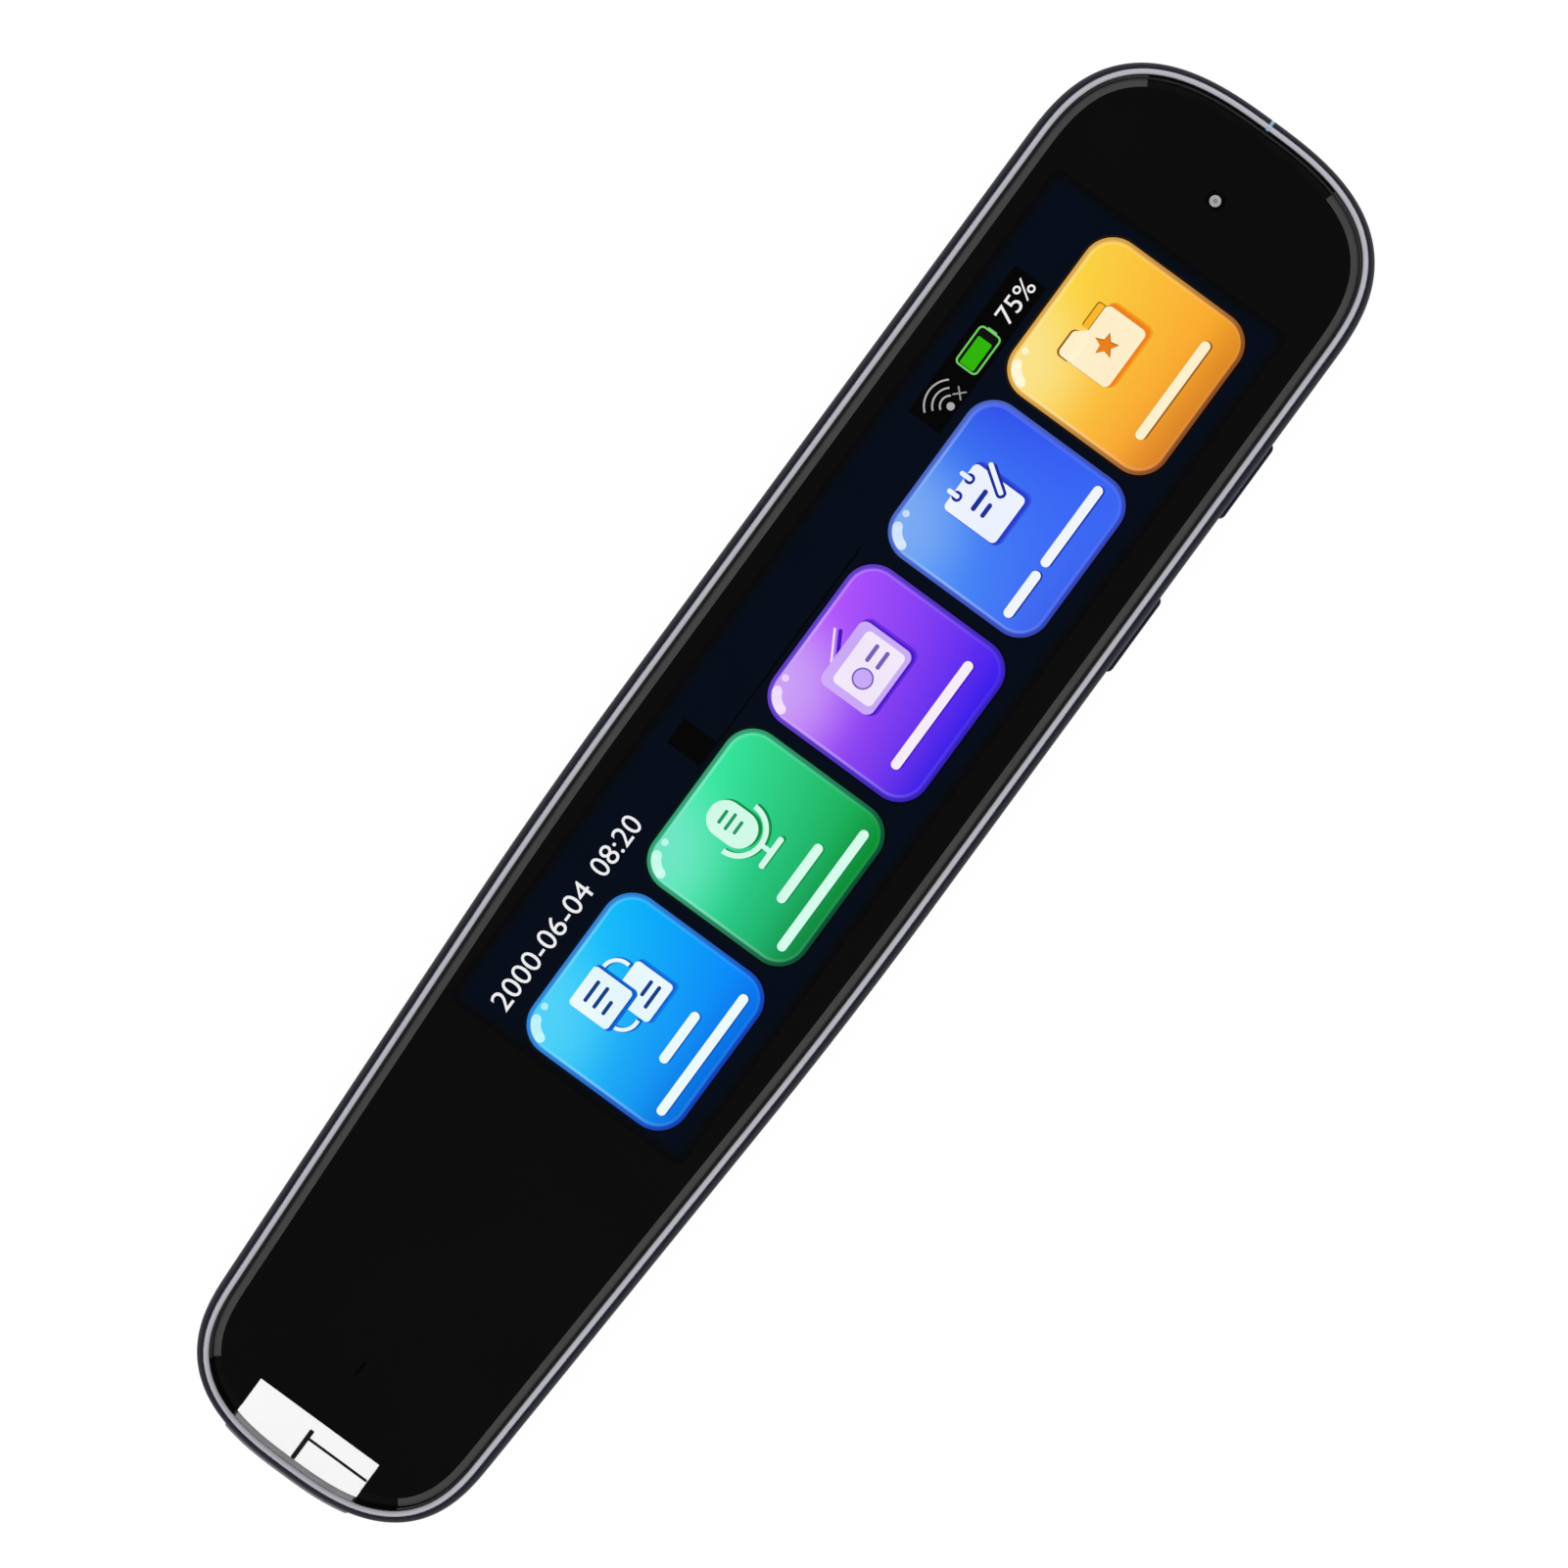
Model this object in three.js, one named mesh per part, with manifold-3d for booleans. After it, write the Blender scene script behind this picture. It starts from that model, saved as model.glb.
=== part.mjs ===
// A scanning pen: a flat hand-held reader with a lit display, two side keys and a sprung scanning nose.
// X runs across the pen toward the keys, Y along it toward the wide end, and Z out of the display.
// The origin is the middle of the flat back. Lengths are in millimetres.
import * as THREE from 'three';
import { mergeVertices } from 'three/addons/utils/BufferGeometryUtils.js';
import Module from 'manifold-3d';

const wasm = await Module();
wasm.setup();

// Outline of the case, seen from the front
const penLength = 150;
const penWidth = 34.1;
const penThickness = 11.5;
const wideEndDepth = 14.5;
const tipEndDepth = 11.5;
const straightLength = 75;
const taperBlend = 25;
const tipWidth = 29.2;
const cornerPower = 2.75;
const endSteps = 10;
const bendSteps = 3;
const roundSides = 24;
const smallSides = 12;
const roundSegments = 5;

// Rear cover
const wall = 1.3;
const baseCurveInset = 3.4;
const baseCurveHeight = 4.4;
const sideFlatHeight = 2;
const shoulderInset = 0.6;
const curveSteps = 4;
const slantAngle = Math.PI / 6;
const bossRadius = 1.9;
const bossHoleRadius = 0.75;
const bossHoleDepth = 4.2;
const overrun = 3;
const jointBite = 0.2;

// Front stack, from the glass down
const glassThickness = 1;
const displayThickness = 1;
const backlightThickness = 1.2;
const foamThickness = 0.4;
const plateThickness = 0.5;
const plateGap = 0.45;

// Bezel frame
const frameInset = shoulderInset;
const frameRadialWidth = 0.6;
const frameCrownDrop = 0.4;
const frameSeatDrop = 2.1;
const frameStepWidth = 1.7;
const frameStepDrop = 1.3;
const frameFlangeWidth = 0.7;

// Cover glass and its gasket
const glassGap = 0.3;
const glassEdgeWidth = 0.8;
const glassEdgeFlat = 0.4;
const gasketThickness = 0.3;
const gasketWidth = 1.2;
const gasketEdgeGap = 0.4;

// Sight window and its aiming mark
const sightHalfWidth = 6.5;
const sightDepth = 5.8;
const sightGap = 0.1;
const sightSink = 0.05;
const markWidth = 0.4;
const markOffset = 0.15;
const markStart = 1.1;
const markLength = 2.8;

// Display
const displaySideMargin = 3.15;
const displayLength = 94.5;
const displayTopMargin = 13.5;
const foamSideMargin = 3.4;
const foamEndMargin = 2;

// Screws that hold the chassis plate
const screwHeadRadius = 1.25;
const screwHeadHeight = 0.3;
const screwShankRadius = 0.6;
const screwLength = 3.6;
const screwHoleRadius = 0.85;
const tipScrewsFromSide = 4.9;
const tipScrewsFromBattery = 3;
const middleScrewsFromSide = 4.55;
const wideScrewsFromSide = 7.55;
const wideScrewsFromEnd = 9;

// Microphone port
const micFromWideEnd = 8.9;
const micHoleRadius = 0.95;
const micGrommetRadius = 0.65;
const micBoreRadius = 0.22;
const micBootRadius = 1.6;
const micWidth = 3;
const micLength = 3.8;
const micHeight = 1;

// Status light
const slitHalfWidth = 0.3;
const lightPipeHalfWidth = 0.15;
const lightPipeDepth = 0.5;
const lightPipeGap = 0.12;
const ledHalfWidth = 0.8;
const ledLength = 0.7;
const ledHeight = 0.6;

// Side keys
const keyLength = 8.3;
const keyHeight = 2.4;
const keyProud = 0.33;
const keyBevel = 0.55;
const keyPlateGap = 0.2;
const keyTravel = 0.35;
const keyClearance = 0.2;
const keyFlangeGap = 0.3;
const keyFlangeThickness = 0.6;
const keyFlangeRim = 0.6;
const keyNubLength = 0.5;
const keyNubWidth = 1.6;
const keyNubHeight = 1.2;
const upperKeyFromWideEnd = 27.5;
const lowerKeyFromWideEnd = 44.5;
const switchDepth = 1.5;
const switchLength = 5.2;
const switchHeight = 3;
const switchMargin = 0.1;
const switchFloorGap = 0.25;
const plungerLength = 0.95;
const plungerWidth = 1.4;
const plungerHeight = 1;
const keyBoardThickness = 0.8;
const keyBoardMargin = 6;
const keyBoardLift = 0.3;
const keyRailThickness = 0.8;
const keyRailHeight = 1.4;

// Scanning nose
const noseHalfWidth = 6.8;
const noseClearance = 0.2;
const noseProud = 0.2;
const noseLift = 0.5;
const nosePlateGap = 0.5;
const noseTravel = 0.8;
const noseBackFromTip = 4.2;
const noseFloor = 1.4;
const noseRoof = 0.7;
const noseSide = 0.9;
const noseFront = 1.3;
const noseFlangeWidth = 2.3;
const noseFlangeThickness = 1;
const noseFlangeHeight = 2.1;
const stemRadius = 0.5;
const stemLength = 7;
const windowHalfWidth = 4.2;
const windowHeight = 2.6;
const windowRebate = 0.4;
const windowThickness = 0.7;
const windowClearance = 0.1;

// Return springs
const springLength = 4.3;
const springWire = 0.3;
const springRadius = 0.95;
const springTurns = 5;
const springStepsPerTurn = 10;
const springSegments = 3;
const springSeatGap = 0.1;

// Scan bracket, camera and lights
const bracketBase = 0.6;
const bracketHalfWidth = 9.2;
const bracketNoseGap = 0.5;
const bracketTail = 0.8;
const bracketWallThickness = 1.5;
const bracketPlateGap = 0.4;
const stemHoleGap = 0.25;
const bracketPostThickness = 1;
const bracketPostHeight = 3.2;
const scanBoardHalfWidth = 7;
const scanBoardRun = 8.9;
const scanBoardThickness = 0.8;
const scanBoardPlateGap = 0.3;
const scanBoardPostGap = 0.3;
const holderHalfWidth = 3.6;
const holderHeight = 4.8;
const holderDepth = 4;
const sensorWidth = 4.8;
const sensorHeight = 3.6;
const sensorThickness = 0.6;
const sensorGap = 0.3;
const barrelRadius = 1.9;
const barrelBoreRadius = 1.3;
const barrelLength = 4.2;
const barrelReach = 2.4;
const barrelGap = 0.1;
const lensThickness = 1.2;
const lensSetback = 0.5;
const lensGap = 0.1;
const scanLedWidth = 1.2;
const scanLedThickness = 0.8;
const scanLedHolderGap = 0.8;
const guideWidth = 1;
const guideGap = 0.1;
const guideBite = 0.4;
const guideSeatGap = 0.2;
const triggerWidth = 2.4;
const triggerHeight = 1.6;
const triggerWallGap = 0.5;
const triggerWall = 0.2;
const triggerFloorGap = 0.4;
const triggerPlungerWidth = 0.8;
const triggerPlungerHeight = 0.8;
const triggerPlungerBite = 0.7;

// Battery
const batterySideMargin = 3.25;
const batterySwellGap = 0.8;
const batteryTapeThickness = 0.3;
const batteryFromTip = 25;
const batteryEdge = 1;
const leadRadius = 0.45;
const leadPitch = 1.3;
const leadSpeakerGap = 0.3;
const leadLift = 1.2;
const leadEndGap = 0.3;
const leadSegments = 4;
const leadSteps = 16;

// Speaker
const speakerBatteryGap = 3;
const speakerLength = 11;
const speakerHeight = 3.2;
const speakerGasketThickness = 0.5;
const speakerGasketRim = 1.4;
const speakerConeRadius = 4;
const speakerConeDepth = 0.5;
const speakerHoleRadius = 0.45;
const speakerHolePitch = 2;
const speakerHoleCount = 5;

// Main board and what it carries
const boardLength = 56.5;
const boardSpeakerGap = 2;
const boardEndGap = 2.5;
const boardStandoff = 1.5;
const boardThickness = 0.8;
const boardInset = 2.1;
const boardKeyGap = 0.4;
const boardBossGap = 0.3;
const postRadius = 1.5;
const pinRadius = 0.5;
const pinGap = 0.25;
const pinRise = 0.5;
const leftPostFromSide = 6.55;
const rightPostFromKeyBoard = 3.2;
const firstPostsFromStart = 4;
const firstRightPostStep = 6;
const lastPostsFromEnd = 19;
const processorLength = 12;
const processorHeight = 1.7;
const processorRadioGap = 1;
const processorPinGap = 0.4;
const processorFromEnd = 37;
const memoryWidth = 9;
const memoryLength = 7;
const memoryHeight = 0.9;
const memoryFromEnd = 24.5;
const radioWidth = 7;
const radioLength = 8;
const radioHeight = 1.5;
const radioFromSide = 4.55;
const radioFromEnd = 41;
const connectorWidth = 4.4;
const connectorLength = 3.6;
const connectorHeight = 1.8;
const connectorSetback = 1;
const connectorEdgeGap = 0.1;

// Charging port
const usbWidth = 8.94;
const usbHeight = 3.16;
const usbDepth = 7.35;
const usbShellWall = 0.3;
const usbMouthSetback = 0.7;
const usbOpeningGap = 0.28;
const usbBaseDepth = 2;
const usbBaseGap = 0.08;
const usbTongueWidth = 6.69;
const usbTongueThickness = 0.7;
const usbTongueReach = 4.45;

// Flat flexes
const flexThickness = 0.15;
const displayFlexWidth = 10;
const displayFlexReach = 1.4;
const displayFlexFoot = 3;
const displayFlexSlotGap = 0.5;
const flexAir = 0.3;
const scanFlexWidth = 6;
const scanFlexFoot = 3;
const scanFlexDrop = 1;

// Places worked out from the sizes above
const halfWidth = penWidth / 2;
const wideEndY = penLength / 2;
const tipEndY = -penLength / 2;
const taperStartY = wideEndY - straightLength;
const tipJoinY = tipEndY + tipEndDepth;
const wideJoinY = wideEndY - wideEndDepth;
const taperRun = taperStartY - tipJoinY - taperBlend / 2;
const taperSlope = (halfWidth - tipWidth / 2) / taperRun;

const shoulderZ = baseCurveHeight + sideFlatHeight;
const coverTopZ = penThickness - frameSeatDrop;
const glassBottomZ = penThickness - glassThickness;
const displayBottomZ = glassBottomZ - displayThickness;
const backlightBottomZ = displayBottomZ - backlightThickness;
const plateTopZ = backlightBottomZ - foamThickness;
const plateBottomZ = plateTopZ - plateThickness;
const frameTopZ = penThickness - frameCrownDrop;
const frameStepZ = penThickness - frameStepDrop;

const displayTopY = wideEndY - displayTopMargin;
const displayEndY = displayTopY - displayLength;
const displayHalfWidth = sideHalfWidth(displayEndY) - displaySideMargin;
const keyCentreZ = plateBottomZ - keyPlateGap - keyFlangeRim - keyHeight / 2;
const keyFlangeX = halfWidth - wall - keyFlangeGap;
const keySwitchFaceX = keyFlangeX - keyFlangeThickness - keyNubLength - keyTravel - switchMargin;
const keyBoardOuterX = keySwitchFaceX - switchDepth;
const keyBoardInnerX = keyBoardOuterX - keyBoardThickness;
const boardEndY = wideEndY - boardEndGap;
const boardStartY = boardEndY - boardLength;
const boardEdgeX = keyBoardInnerX - boardKeyGap;
const connectorX = boardEdgeX - connectorEdgeGap - connectorWidth / 2;
const leadX = connectorX - leadPitch / 2;
const speakerHalfWidth = leadX - leadRadius - leadSpeakerGap;
const speakerEndY = boardStartY - boardSpeakerGap;
const speakerStartY = speakerEndY - speakerLength;
const speakerCentreY = speakerStartY + speakerLength / 2;
const batteryStartY = tipEndY + batteryFromTip;
const batteryEndY = speakerStartY - speakerBatteryGap;
const batteryLength = batteryEndY - batteryStartY;
const batteryNarrowHalf = Math.min(sideHalfWidth(batteryStartY), sideHalfWidth(batteryEndY));
const batteryHalfWidth = batteryNarrowHalf - batterySideMargin;
const batteryBottomZ = wall + batteryTapeThickness;
const batteryTopZ = plateBottomZ - batterySwellGap;
const boardBottomZ = wall + boardStandoff;
const boardTopZ = boardBottomZ + boardThickness;
const usbCentreZ = boardTopZ + usbHeight / 2;
const usbMouthY = wideEndY - usbMouthSetback;

const noseFloorZ = wall + noseLift;
const noseTopZ = plateBottomZ - nosePlateGap;
const noseBackY = tipEndY + noseBackFromTip;
const scanAxisZ = (noseFloorZ + noseFloor + noseTopZ - noseRoof) / 2;
const stemX = noseHalfWidth + noseFlangeWidth / 2;
const stemZ = noseTopZ - noseFlangeHeight / 2;
const bracketTopZ = wall + bracketBase;
const bracketFrontY = noseBackY + noseTravel + bracketNoseGap;
const bracketWallY = noseBackY + springLength;
const scanBoardY = bracketWallY + scanBoardRun;
const scanLedX = holderHalfWidth + scanLedHolderGap + scanLedWidth / 2;

// Half the width of the long sides: parallel first, then eased into a straight taper toward the tip
function sideHalfWidth(y) {
  const run = taperStartY - y;
  if (run <= 0) return halfWidth;
  if (run < taperBlend) return halfWidth - taperSlope * run * run / (2 * taperBlend);
  return halfWidth - taperSlope * (run - taperBlend / 2);
}

// The outline anticlockwise from the middle of the tip, with both ends as quarters of a superellipse
function caseOutline() {
  const right = [];
  const power = 2 / cornerPower;
  for (let i = 0; i <= endSteps; i++) {
    const turn = Math.PI / 2 * (1 - i / endSteps);
    const y = tipJoinY - tipEndDepth * Math.sin(turn) ** power;
    right.push(new THREE.Vector2(sideHalfWidth(y) * Math.cos(turn) ** power, y));
  }
  for (let i = 0; i <= bendSteps; i++) {
    const y = taperStartY - taperBlend * (1 - i / bendSteps);
    right.push(new THREE.Vector2(sideHalfWidth(y), y));
  }
  for (let i = 0; i <= endSteps; i++) {
    const turn = Math.PI / 2 * i / endSteps;
    const y = wideJoinY + wideEndDepth * Math.sin(turn) ** power;
    right.push(new THREE.Vector2(halfWidth * Math.cos(turn) ** power, y));
  }
  const left = right.slice(1, -1).reverse().map((point) => new THREE.Vector2(-point.x, point.y));
  return right.concat(left);
}

const outline = caseOutline();

// The outline moved inward by one distance, with its sides kept parallel
function insetOutline(inset) {
  return outline.map((point, i) => {
    const before = outline[(i + outline.length - 1) % outline.length];
    const after = outline[(i + 1) % outline.length];
    const edgeIn = point.clone().sub(before).normalize();
    const edgeOut = after.clone().sub(point).normalize();
    const normalIn = new THREE.Vector2(edgeIn.y, -edgeIn.x);
    const normalOut = new THREE.Vector2(edgeOut.y, -edgeOut.x);
    const reach = inset / (1 + normalIn.dot(normalOut));
    return point.clone().sub(normalIn.add(normalOut).multiplyScalar(reach));
  });
}

function meshGeometry(positions, indices) {
  const geometry = new THREE.BufferGeometry();
  geometry.setAttribute('position', new THREE.Float32BufferAttribute(positions, 3));
  geometry.setIndex(indices);
  geometry.computeVertexNormals();
  return geometry;
}

// Joins rings of equal point counts, and leaves the first and last ring open
function bandIndices(ringCount, pointCount, closed) {
  const indices = [];
  const bands = closed ? ringCount : ringCount - 1;
  for (let k = 0; k < bands; k++) {
    const low = k * pointCount;
    const high = (k + 1) % ringCount * pointCount;
    for (let i = 0; i < pointCount; i++) {
      const next = (i + 1) % pointCount;
      indices.push(low + i, low + next, high + next, low + i, high + next, high + i);
    }
  }
  return indices;
}

// A closed body whose level at each height is the outline inset by that level's distance
function loft(levels) {
  const positions = [];
  for (const [inset, z] of levels) {
    for (const point of insetOutline(inset)) positions.push(point.x, point.y, z);
  }
  const count = outline.length;
  const indices = bandIndices(levels.length, count, false);
  const top = (levels.length - 1) * count;
  const cap = THREE.ShapeUtils.triangulateShape(insetOutline(levels[0][0]), []);
  for (const [a, b, c] of cap) indices.push(a, c, b);
  const lid = THREE.ShapeUtils.triangulateShape(insetOutline(levels[levels.length - 1][0]), []);
  for (const [a, b, c] of lid) indices.push(top + a, top + b, top + c);
  return meshGeometry(positions, indices);
}

// A closed ring: a profile of insets and heights, outer face first and upward, swept round the outline
function sweptRing(profile) {
  const positions = [];
  for (const [inset, z] of profile) {
    for (const point of insetOutline(inset)) positions.push(point.x, point.y, z);
  }
  return meshGeometry(positions, bandIndices(profile.length, outline.length, true));
}

function block(xMin, xMax, yMin, yMax, zMin, zMax) {
  const geometry = new THREE.BoxGeometry(xMax - xMin, yMax - yMin, zMax - zMin);
  return geometry.translate((xMin + xMax) / 2, (yMin + yMax) / 2, (zMin + zMax) / 2);
}

function rodAlongZ(radius, x, y, zMin, zMax, sides) {
  const geometry = new THREE.CylinderGeometry(radius, radius, zMax - zMin, sides);
  return geometry.rotateX(Math.PI / 2).translate(x, y, (zMin + zMax) / 2);
}

function rodAlongY(radius, x, z, yMin, yMax, sides) {
  const geometry = new THREE.CylinderGeometry(radius, radius, yMax - yMin, sides);
  return geometry.translate(x, (yMin + yMax) / 2, z);
}

// A slot shape with round ends, run along Y
function slotAlongY(width, height, yMin, yMax, z) {
  const radius = height / 2;
  const reach = width / 2 - radius;
  const shape = new THREE.Shape();
  shape.absarc(reach, 0, radius, -Math.PI / 2, Math.PI / 2, false);
  shape.absarc(-reach, 0, radius, Math.PI / 2, Math.PI * 3 / 2, false);
  const options = { depth: yMax - yMin, bevelEnabled: false, curveSegments: roundSegments };
  return new THREE.ExtrudeGeometry(shape, options).rotateX(Math.PI / 2).translate(0, yMax, z);
}

// A plate profile given as points of Y and Z, run across the pen between two values of X
function extrudeAlongX(points, xMin, xMax) {
  const shape = new THREE.Shape(points.map(([y, z]) => new THREE.Vector2(y, z)));
  const geometry = new THREE.ExtrudeGeometry(shape, { depth: xMax - xMin, bevelEnabled: false });
  geometry.applyMatrix4(new THREE.Matrix4().makeBasis(
    new THREE.Vector3(0, 1, 0), new THREE.Vector3(0, 0, 1), new THREE.Vector3(1, 0, 0)));
  return geometry.translate(xMin, 0, 0);
}

function toManifold(geometry) {
  const bare = geometry.clone();
  bare.deleteAttribute('normal');
  bare.deleteAttribute('uv');
  const merged = mergeVertices(bare);
  return new wasm.Manifold(new wasm.Mesh({
    numProp: 3,
    vertProperties: merged.attributes.position.array,
    triVerts: Uint32Array.from(merged.index.array),
  }));
}

function fromManifold(body) {
  const mesh = body.getMesh();
  return meshGeometry(Array.from(mesh.vertProperties), Array.from(mesh.triVerts));
}

function join(...geometries) {
  return fromManifold(geometries.map(toManifold).reduce((whole, body) => whole.add(body)));
}

function cut(base, ...tools) {
  return fromManifold([base, ...tools].map(toManifold).reduce((whole, body) => whole.subtract(body)));
}

function shared(...geometries) {
  return fromManifold(geometries.map(toManifold).reduce((whole, body) => whole.intersect(body)));
}

function finish(color, roughness, metalness) {
  return new THREE.MeshStandardMaterial({ color, roughness, metalness });
}

const navyPlastic = finish(0x2e3040, 0.5, 0);
const silverMetal = finish(0xb4b4bb, 0.3, 1);
const navyMetal = finish(0x2a2e44, 0.4, 1);
const blackGlass = finish(0x0d0d0d, 0.1, 0);
const whitePlastic = finish(0xf4f4f4, 0.4, 0);
const inkBlack = finish(0x101010, 0.6, 0);
const blackRubber = finish(0x1a1a1a, 0.8, 0);
const displayBlue = finish(0x080e1a, 0.2, 0);
const steel = finish(0xa8a8ac, 0.35, 1);
const boardGreen = finish(0x1d4a33, 0.6, 0);
const chipBlack = finish(0x202224, 0.5, 0);
const greyPlastic = finish(0x77787c, 0.5, 0);
const clearPlastic = finish(0xdfe6ea, 0.1, 0);
const flexAmber = finish(0xb07a2c, 0.5, 0);
const batteryWrap = finish(0x3b4046, 0.5, 0);
const redWire = finish(0xa8201c, 0.6, 0);
const blackWire = finish(0x141414, 0.6, 0);
const blueLight = finish(0x9fc4ff, 0.3, 0);

const group = new THREE.Group();

function addPiece(name, geometry, material, parent = group) {
  const mesh = new THREE.Mesh(geometry, material);
  mesh.name = name;
  parent.add(mesh);
  return mesh;
}

// Two mirrored places across the pen, with the words that name them
const sides = [
  { word: 'left', sign: -1 },
  { word: 'right', sign: 1 },
];

// The slanted tip: everything outside a plane that leans back under the shoulder of the tip
function beyondSlant(shift) {
  const size = penWidth;
  const geometry = new THREE.BoxGeometry(size * 2, size, size * 2).translate(0, -size / 2 - shift, 0);
  return geometry.rotateX(slantAngle).translate(0, tipEndY, shoulderZ);
}

// A shape given about the middle of the scan window, with Y going in behind the slanted face
function behindSlant(geometry) {
  const back = (shoulderZ - scanAxisZ) * Math.tan(slantAngle) - noseProud / Math.cos(slantAngle);
  return geometry.rotateX(slantAngle).translate(0, tipEndY + back, scanAxisZ);
}

// Rear cover

function coverLevels(thickness, topZ) {
  const levels = [];
  for (let i = 0; i <= curveSteps; i++) {
    const turn = Math.PI / 2 * (1 - i / curveSteps);
    const inset = baseCurveInset - (baseCurveInset - thickness) * Math.cos(turn);
    levels.push([inset, baseCurveHeight - (baseCurveHeight - thickness) * Math.sin(turn)]);
  }
  for (let i = 0; i <= curveSteps; i++) {
    const share = i / curveSteps;
    levels.push([thickness + shoulderInset * share * share, shoulderZ + (coverTopZ - shoulderZ) * share]);
  }
  if (topZ > coverTopZ) levels.push([thickness + shoulderInset, topZ]);
  return levels;
}

const screwRows = [
  { y: batteryStartY - tipScrewsFromBattery, fromSide: tipScrewsFromSide },
  { y: speakerCentreY, fromSide: middleScrewsFromSide },
  { y: wideEndY - wideScrewsFromEnd, fromSide: wideScrewsFromSide },
];
const screwPlaces = screwRows.flatMap(({ y, fromSide }) =>
  sides.map(({ sign }) => ({ x: sign * (sideHalfWidth(y) - fromSide), y })));
const leftPostX = leftPostFromSide - halfWidth;
const rightPostX = keyBoardInnerX - rightPostFromKeyBoard;
const postPlaces = [
  { x: leftPostX, y: boardStartY + firstPostsFromStart },
  { x: rightPostX, y: boardStartY + firstPostsFromStart + firstRightPostStep },
  { x: leftPostX, y: wideEndY - lastPostsFromEnd },
  { x: rightPostX, y: wideEndY - lastPostsFromEnd },
];
const keyPlaces = [
  { word: 'upper', y: wideEndY - upperKeyFromWideEnd },
  { word: 'lower', y: wideEndY - lowerKeyFromWideEnd },
];
const keyBoardStartY = keyPlaces[1].y - keyBoardMargin;
const keyBoardEndY = keyPlaces[0].y + keyBoardMargin;

function makeRearCover() {
  const hollow = cut(loft(coverLevels(wall, coverTopZ + overrun)), beyondSlant(-wall));
  const shell = cut(loft(coverLevels(0, coverTopZ)), beyondSlant(0), hollow);
  const inside = loft(coverLevels(wall / 2, coverTopZ));
  const floorBite = wall - jointBite;
  const bosses = screwPlaces.map(({ x, y }) =>
    rodAlongZ(bossRadius, x, y, floorBite, plateBottomZ, smallSides));
  const posts = postPlaces.map(({ x, y }) =>
    rodAlongZ(postRadius, x, y, floorBite, boardBottomZ, smallSides));
  const pinTopZ = boardTopZ + pinRise;
  const pins = postPlaces.map(({ x, y }) => rodAlongZ(pinRadius, x, y, floorBite, pinTopZ, smallSides));
  const railX = keyBoardOuterX + jointBite;
  const rail = block(railX, railX + keyRailThickness, keyBoardStartY, keyBoardEndY,
    floorBite, wall + keyRailHeight);
  const fittings = shared(join(...bosses, ...posts, ...pins, rail), inside);
  const holes = screwPlaces.map(({ x, y }) =>
    rodAlongZ(bossHoleRadius, x, y, plateBottomZ - bossHoleDepth, plateBottomZ + overrun, smallSides));
  const keySlots = keyPlaces.map(({ y }) => {
    const halfLength = keyLength / 2 + keyClearance;
    const halfHeight = keyHeight / 2 + keyClearance;
    return block(halfWidth - wall - overrun / 2, halfWidth + overrun, y - halfLength, y + halfLength,
      keyCentreZ - halfHeight, keyCentreZ + halfHeight);
  });
  const noseHole = block(-noseHalfWidth - noseClearance, noseHalfWidth + noseClearance,
    tipEndY - overrun, noseBackY, noseFloorZ - noseClearance, noseTopZ + noseClearance);
  const port = slotAlongY(usbWidth + 2 * usbOpeningGap, usbHeight + 2 * usbOpeningGap,
    wideEndY - wall - overrun, wideEndY + overrun, usbCentreZ);
  const soundHoles = [];
  for (let i = 0; i < speakerHoleCount; i++) {
    const x = (i - (speakerHoleCount - 1) / 2) * speakerHolePitch;
    soundHoles.push(rodAlongZ(speakerHoleRadius, x, speakerCentreY, -overrun, wall + jointBite, smallSides));
  }
  return cut(join(shell, fittings), ...holes, ...keySlots, noseHole, port, ...soundHoles);
}

addPiece('rear_cover', makeRearCover(), navyPlastic);

// Bezel frame: a thin rounded rim over the cover, with a step for the gasket and a flange down to the plate

const frameOuterInset = frameInset + frameRadialWidth;
const frameStepInset = frameOuterInset + frameStepWidth;
const frameFlangeInset = frameStepInset - frameFlangeWidth;

function makeBezelFrame() {
  const crown = frameTopZ - coverTopZ;
  // Shares of the rim's width and height, from its outer foot over the crown to its inner edge
  const edgeShares = [[0.03, 0.24], [0.25, 0.65], [0.58, 0.91], [0.83, 1], [1, 0.94]];
  const rim = edgeShares.map(([across, up]) =>
    [frameInset + frameRadialWidth * across, coverTopZ + crown * up]);
  const profile = [
    [frameInset, coverTopZ],
    ...rim,
    [frameOuterInset, frameStepZ],
    [frameStepInset, frameStepZ],
    [frameStepInset, plateTopZ],
    [frameFlangeInset, plateTopZ],
    [frameFlangeInset, coverTopZ],
  ];
  const slit = block(-slitHalfWidth, slitHalfWidth, wideEndY - frameStepInset - overrun, wideEndY + overrun,
    plateTopZ - overrun, frameTopZ + overrun);
  return cut(sweptRing(profile), slit);
}

addPiece('bezel_frame', makeBezelFrame(), silverMetal);

// Gasket, cover glass and the sight window at the tip

const glassInset = frameOuterInset + glassGap;
const gasketInset = frameOuterInset + gasketEdgeGap;
const sightStartY = tipEndY + sightDepth;
const micY = wideEndY - micFromWideEnd;

addPiece('glass_gasket', sweptRing([
  [gasketInset, frameStepZ],
  [gasketInset, frameStepZ + gasketThickness],
  [gasketInset + gasketWidth, frameStepZ + gasketThickness],
  [gasketInset + gasketWidth, frameStepZ],
]), blackRubber);

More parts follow.
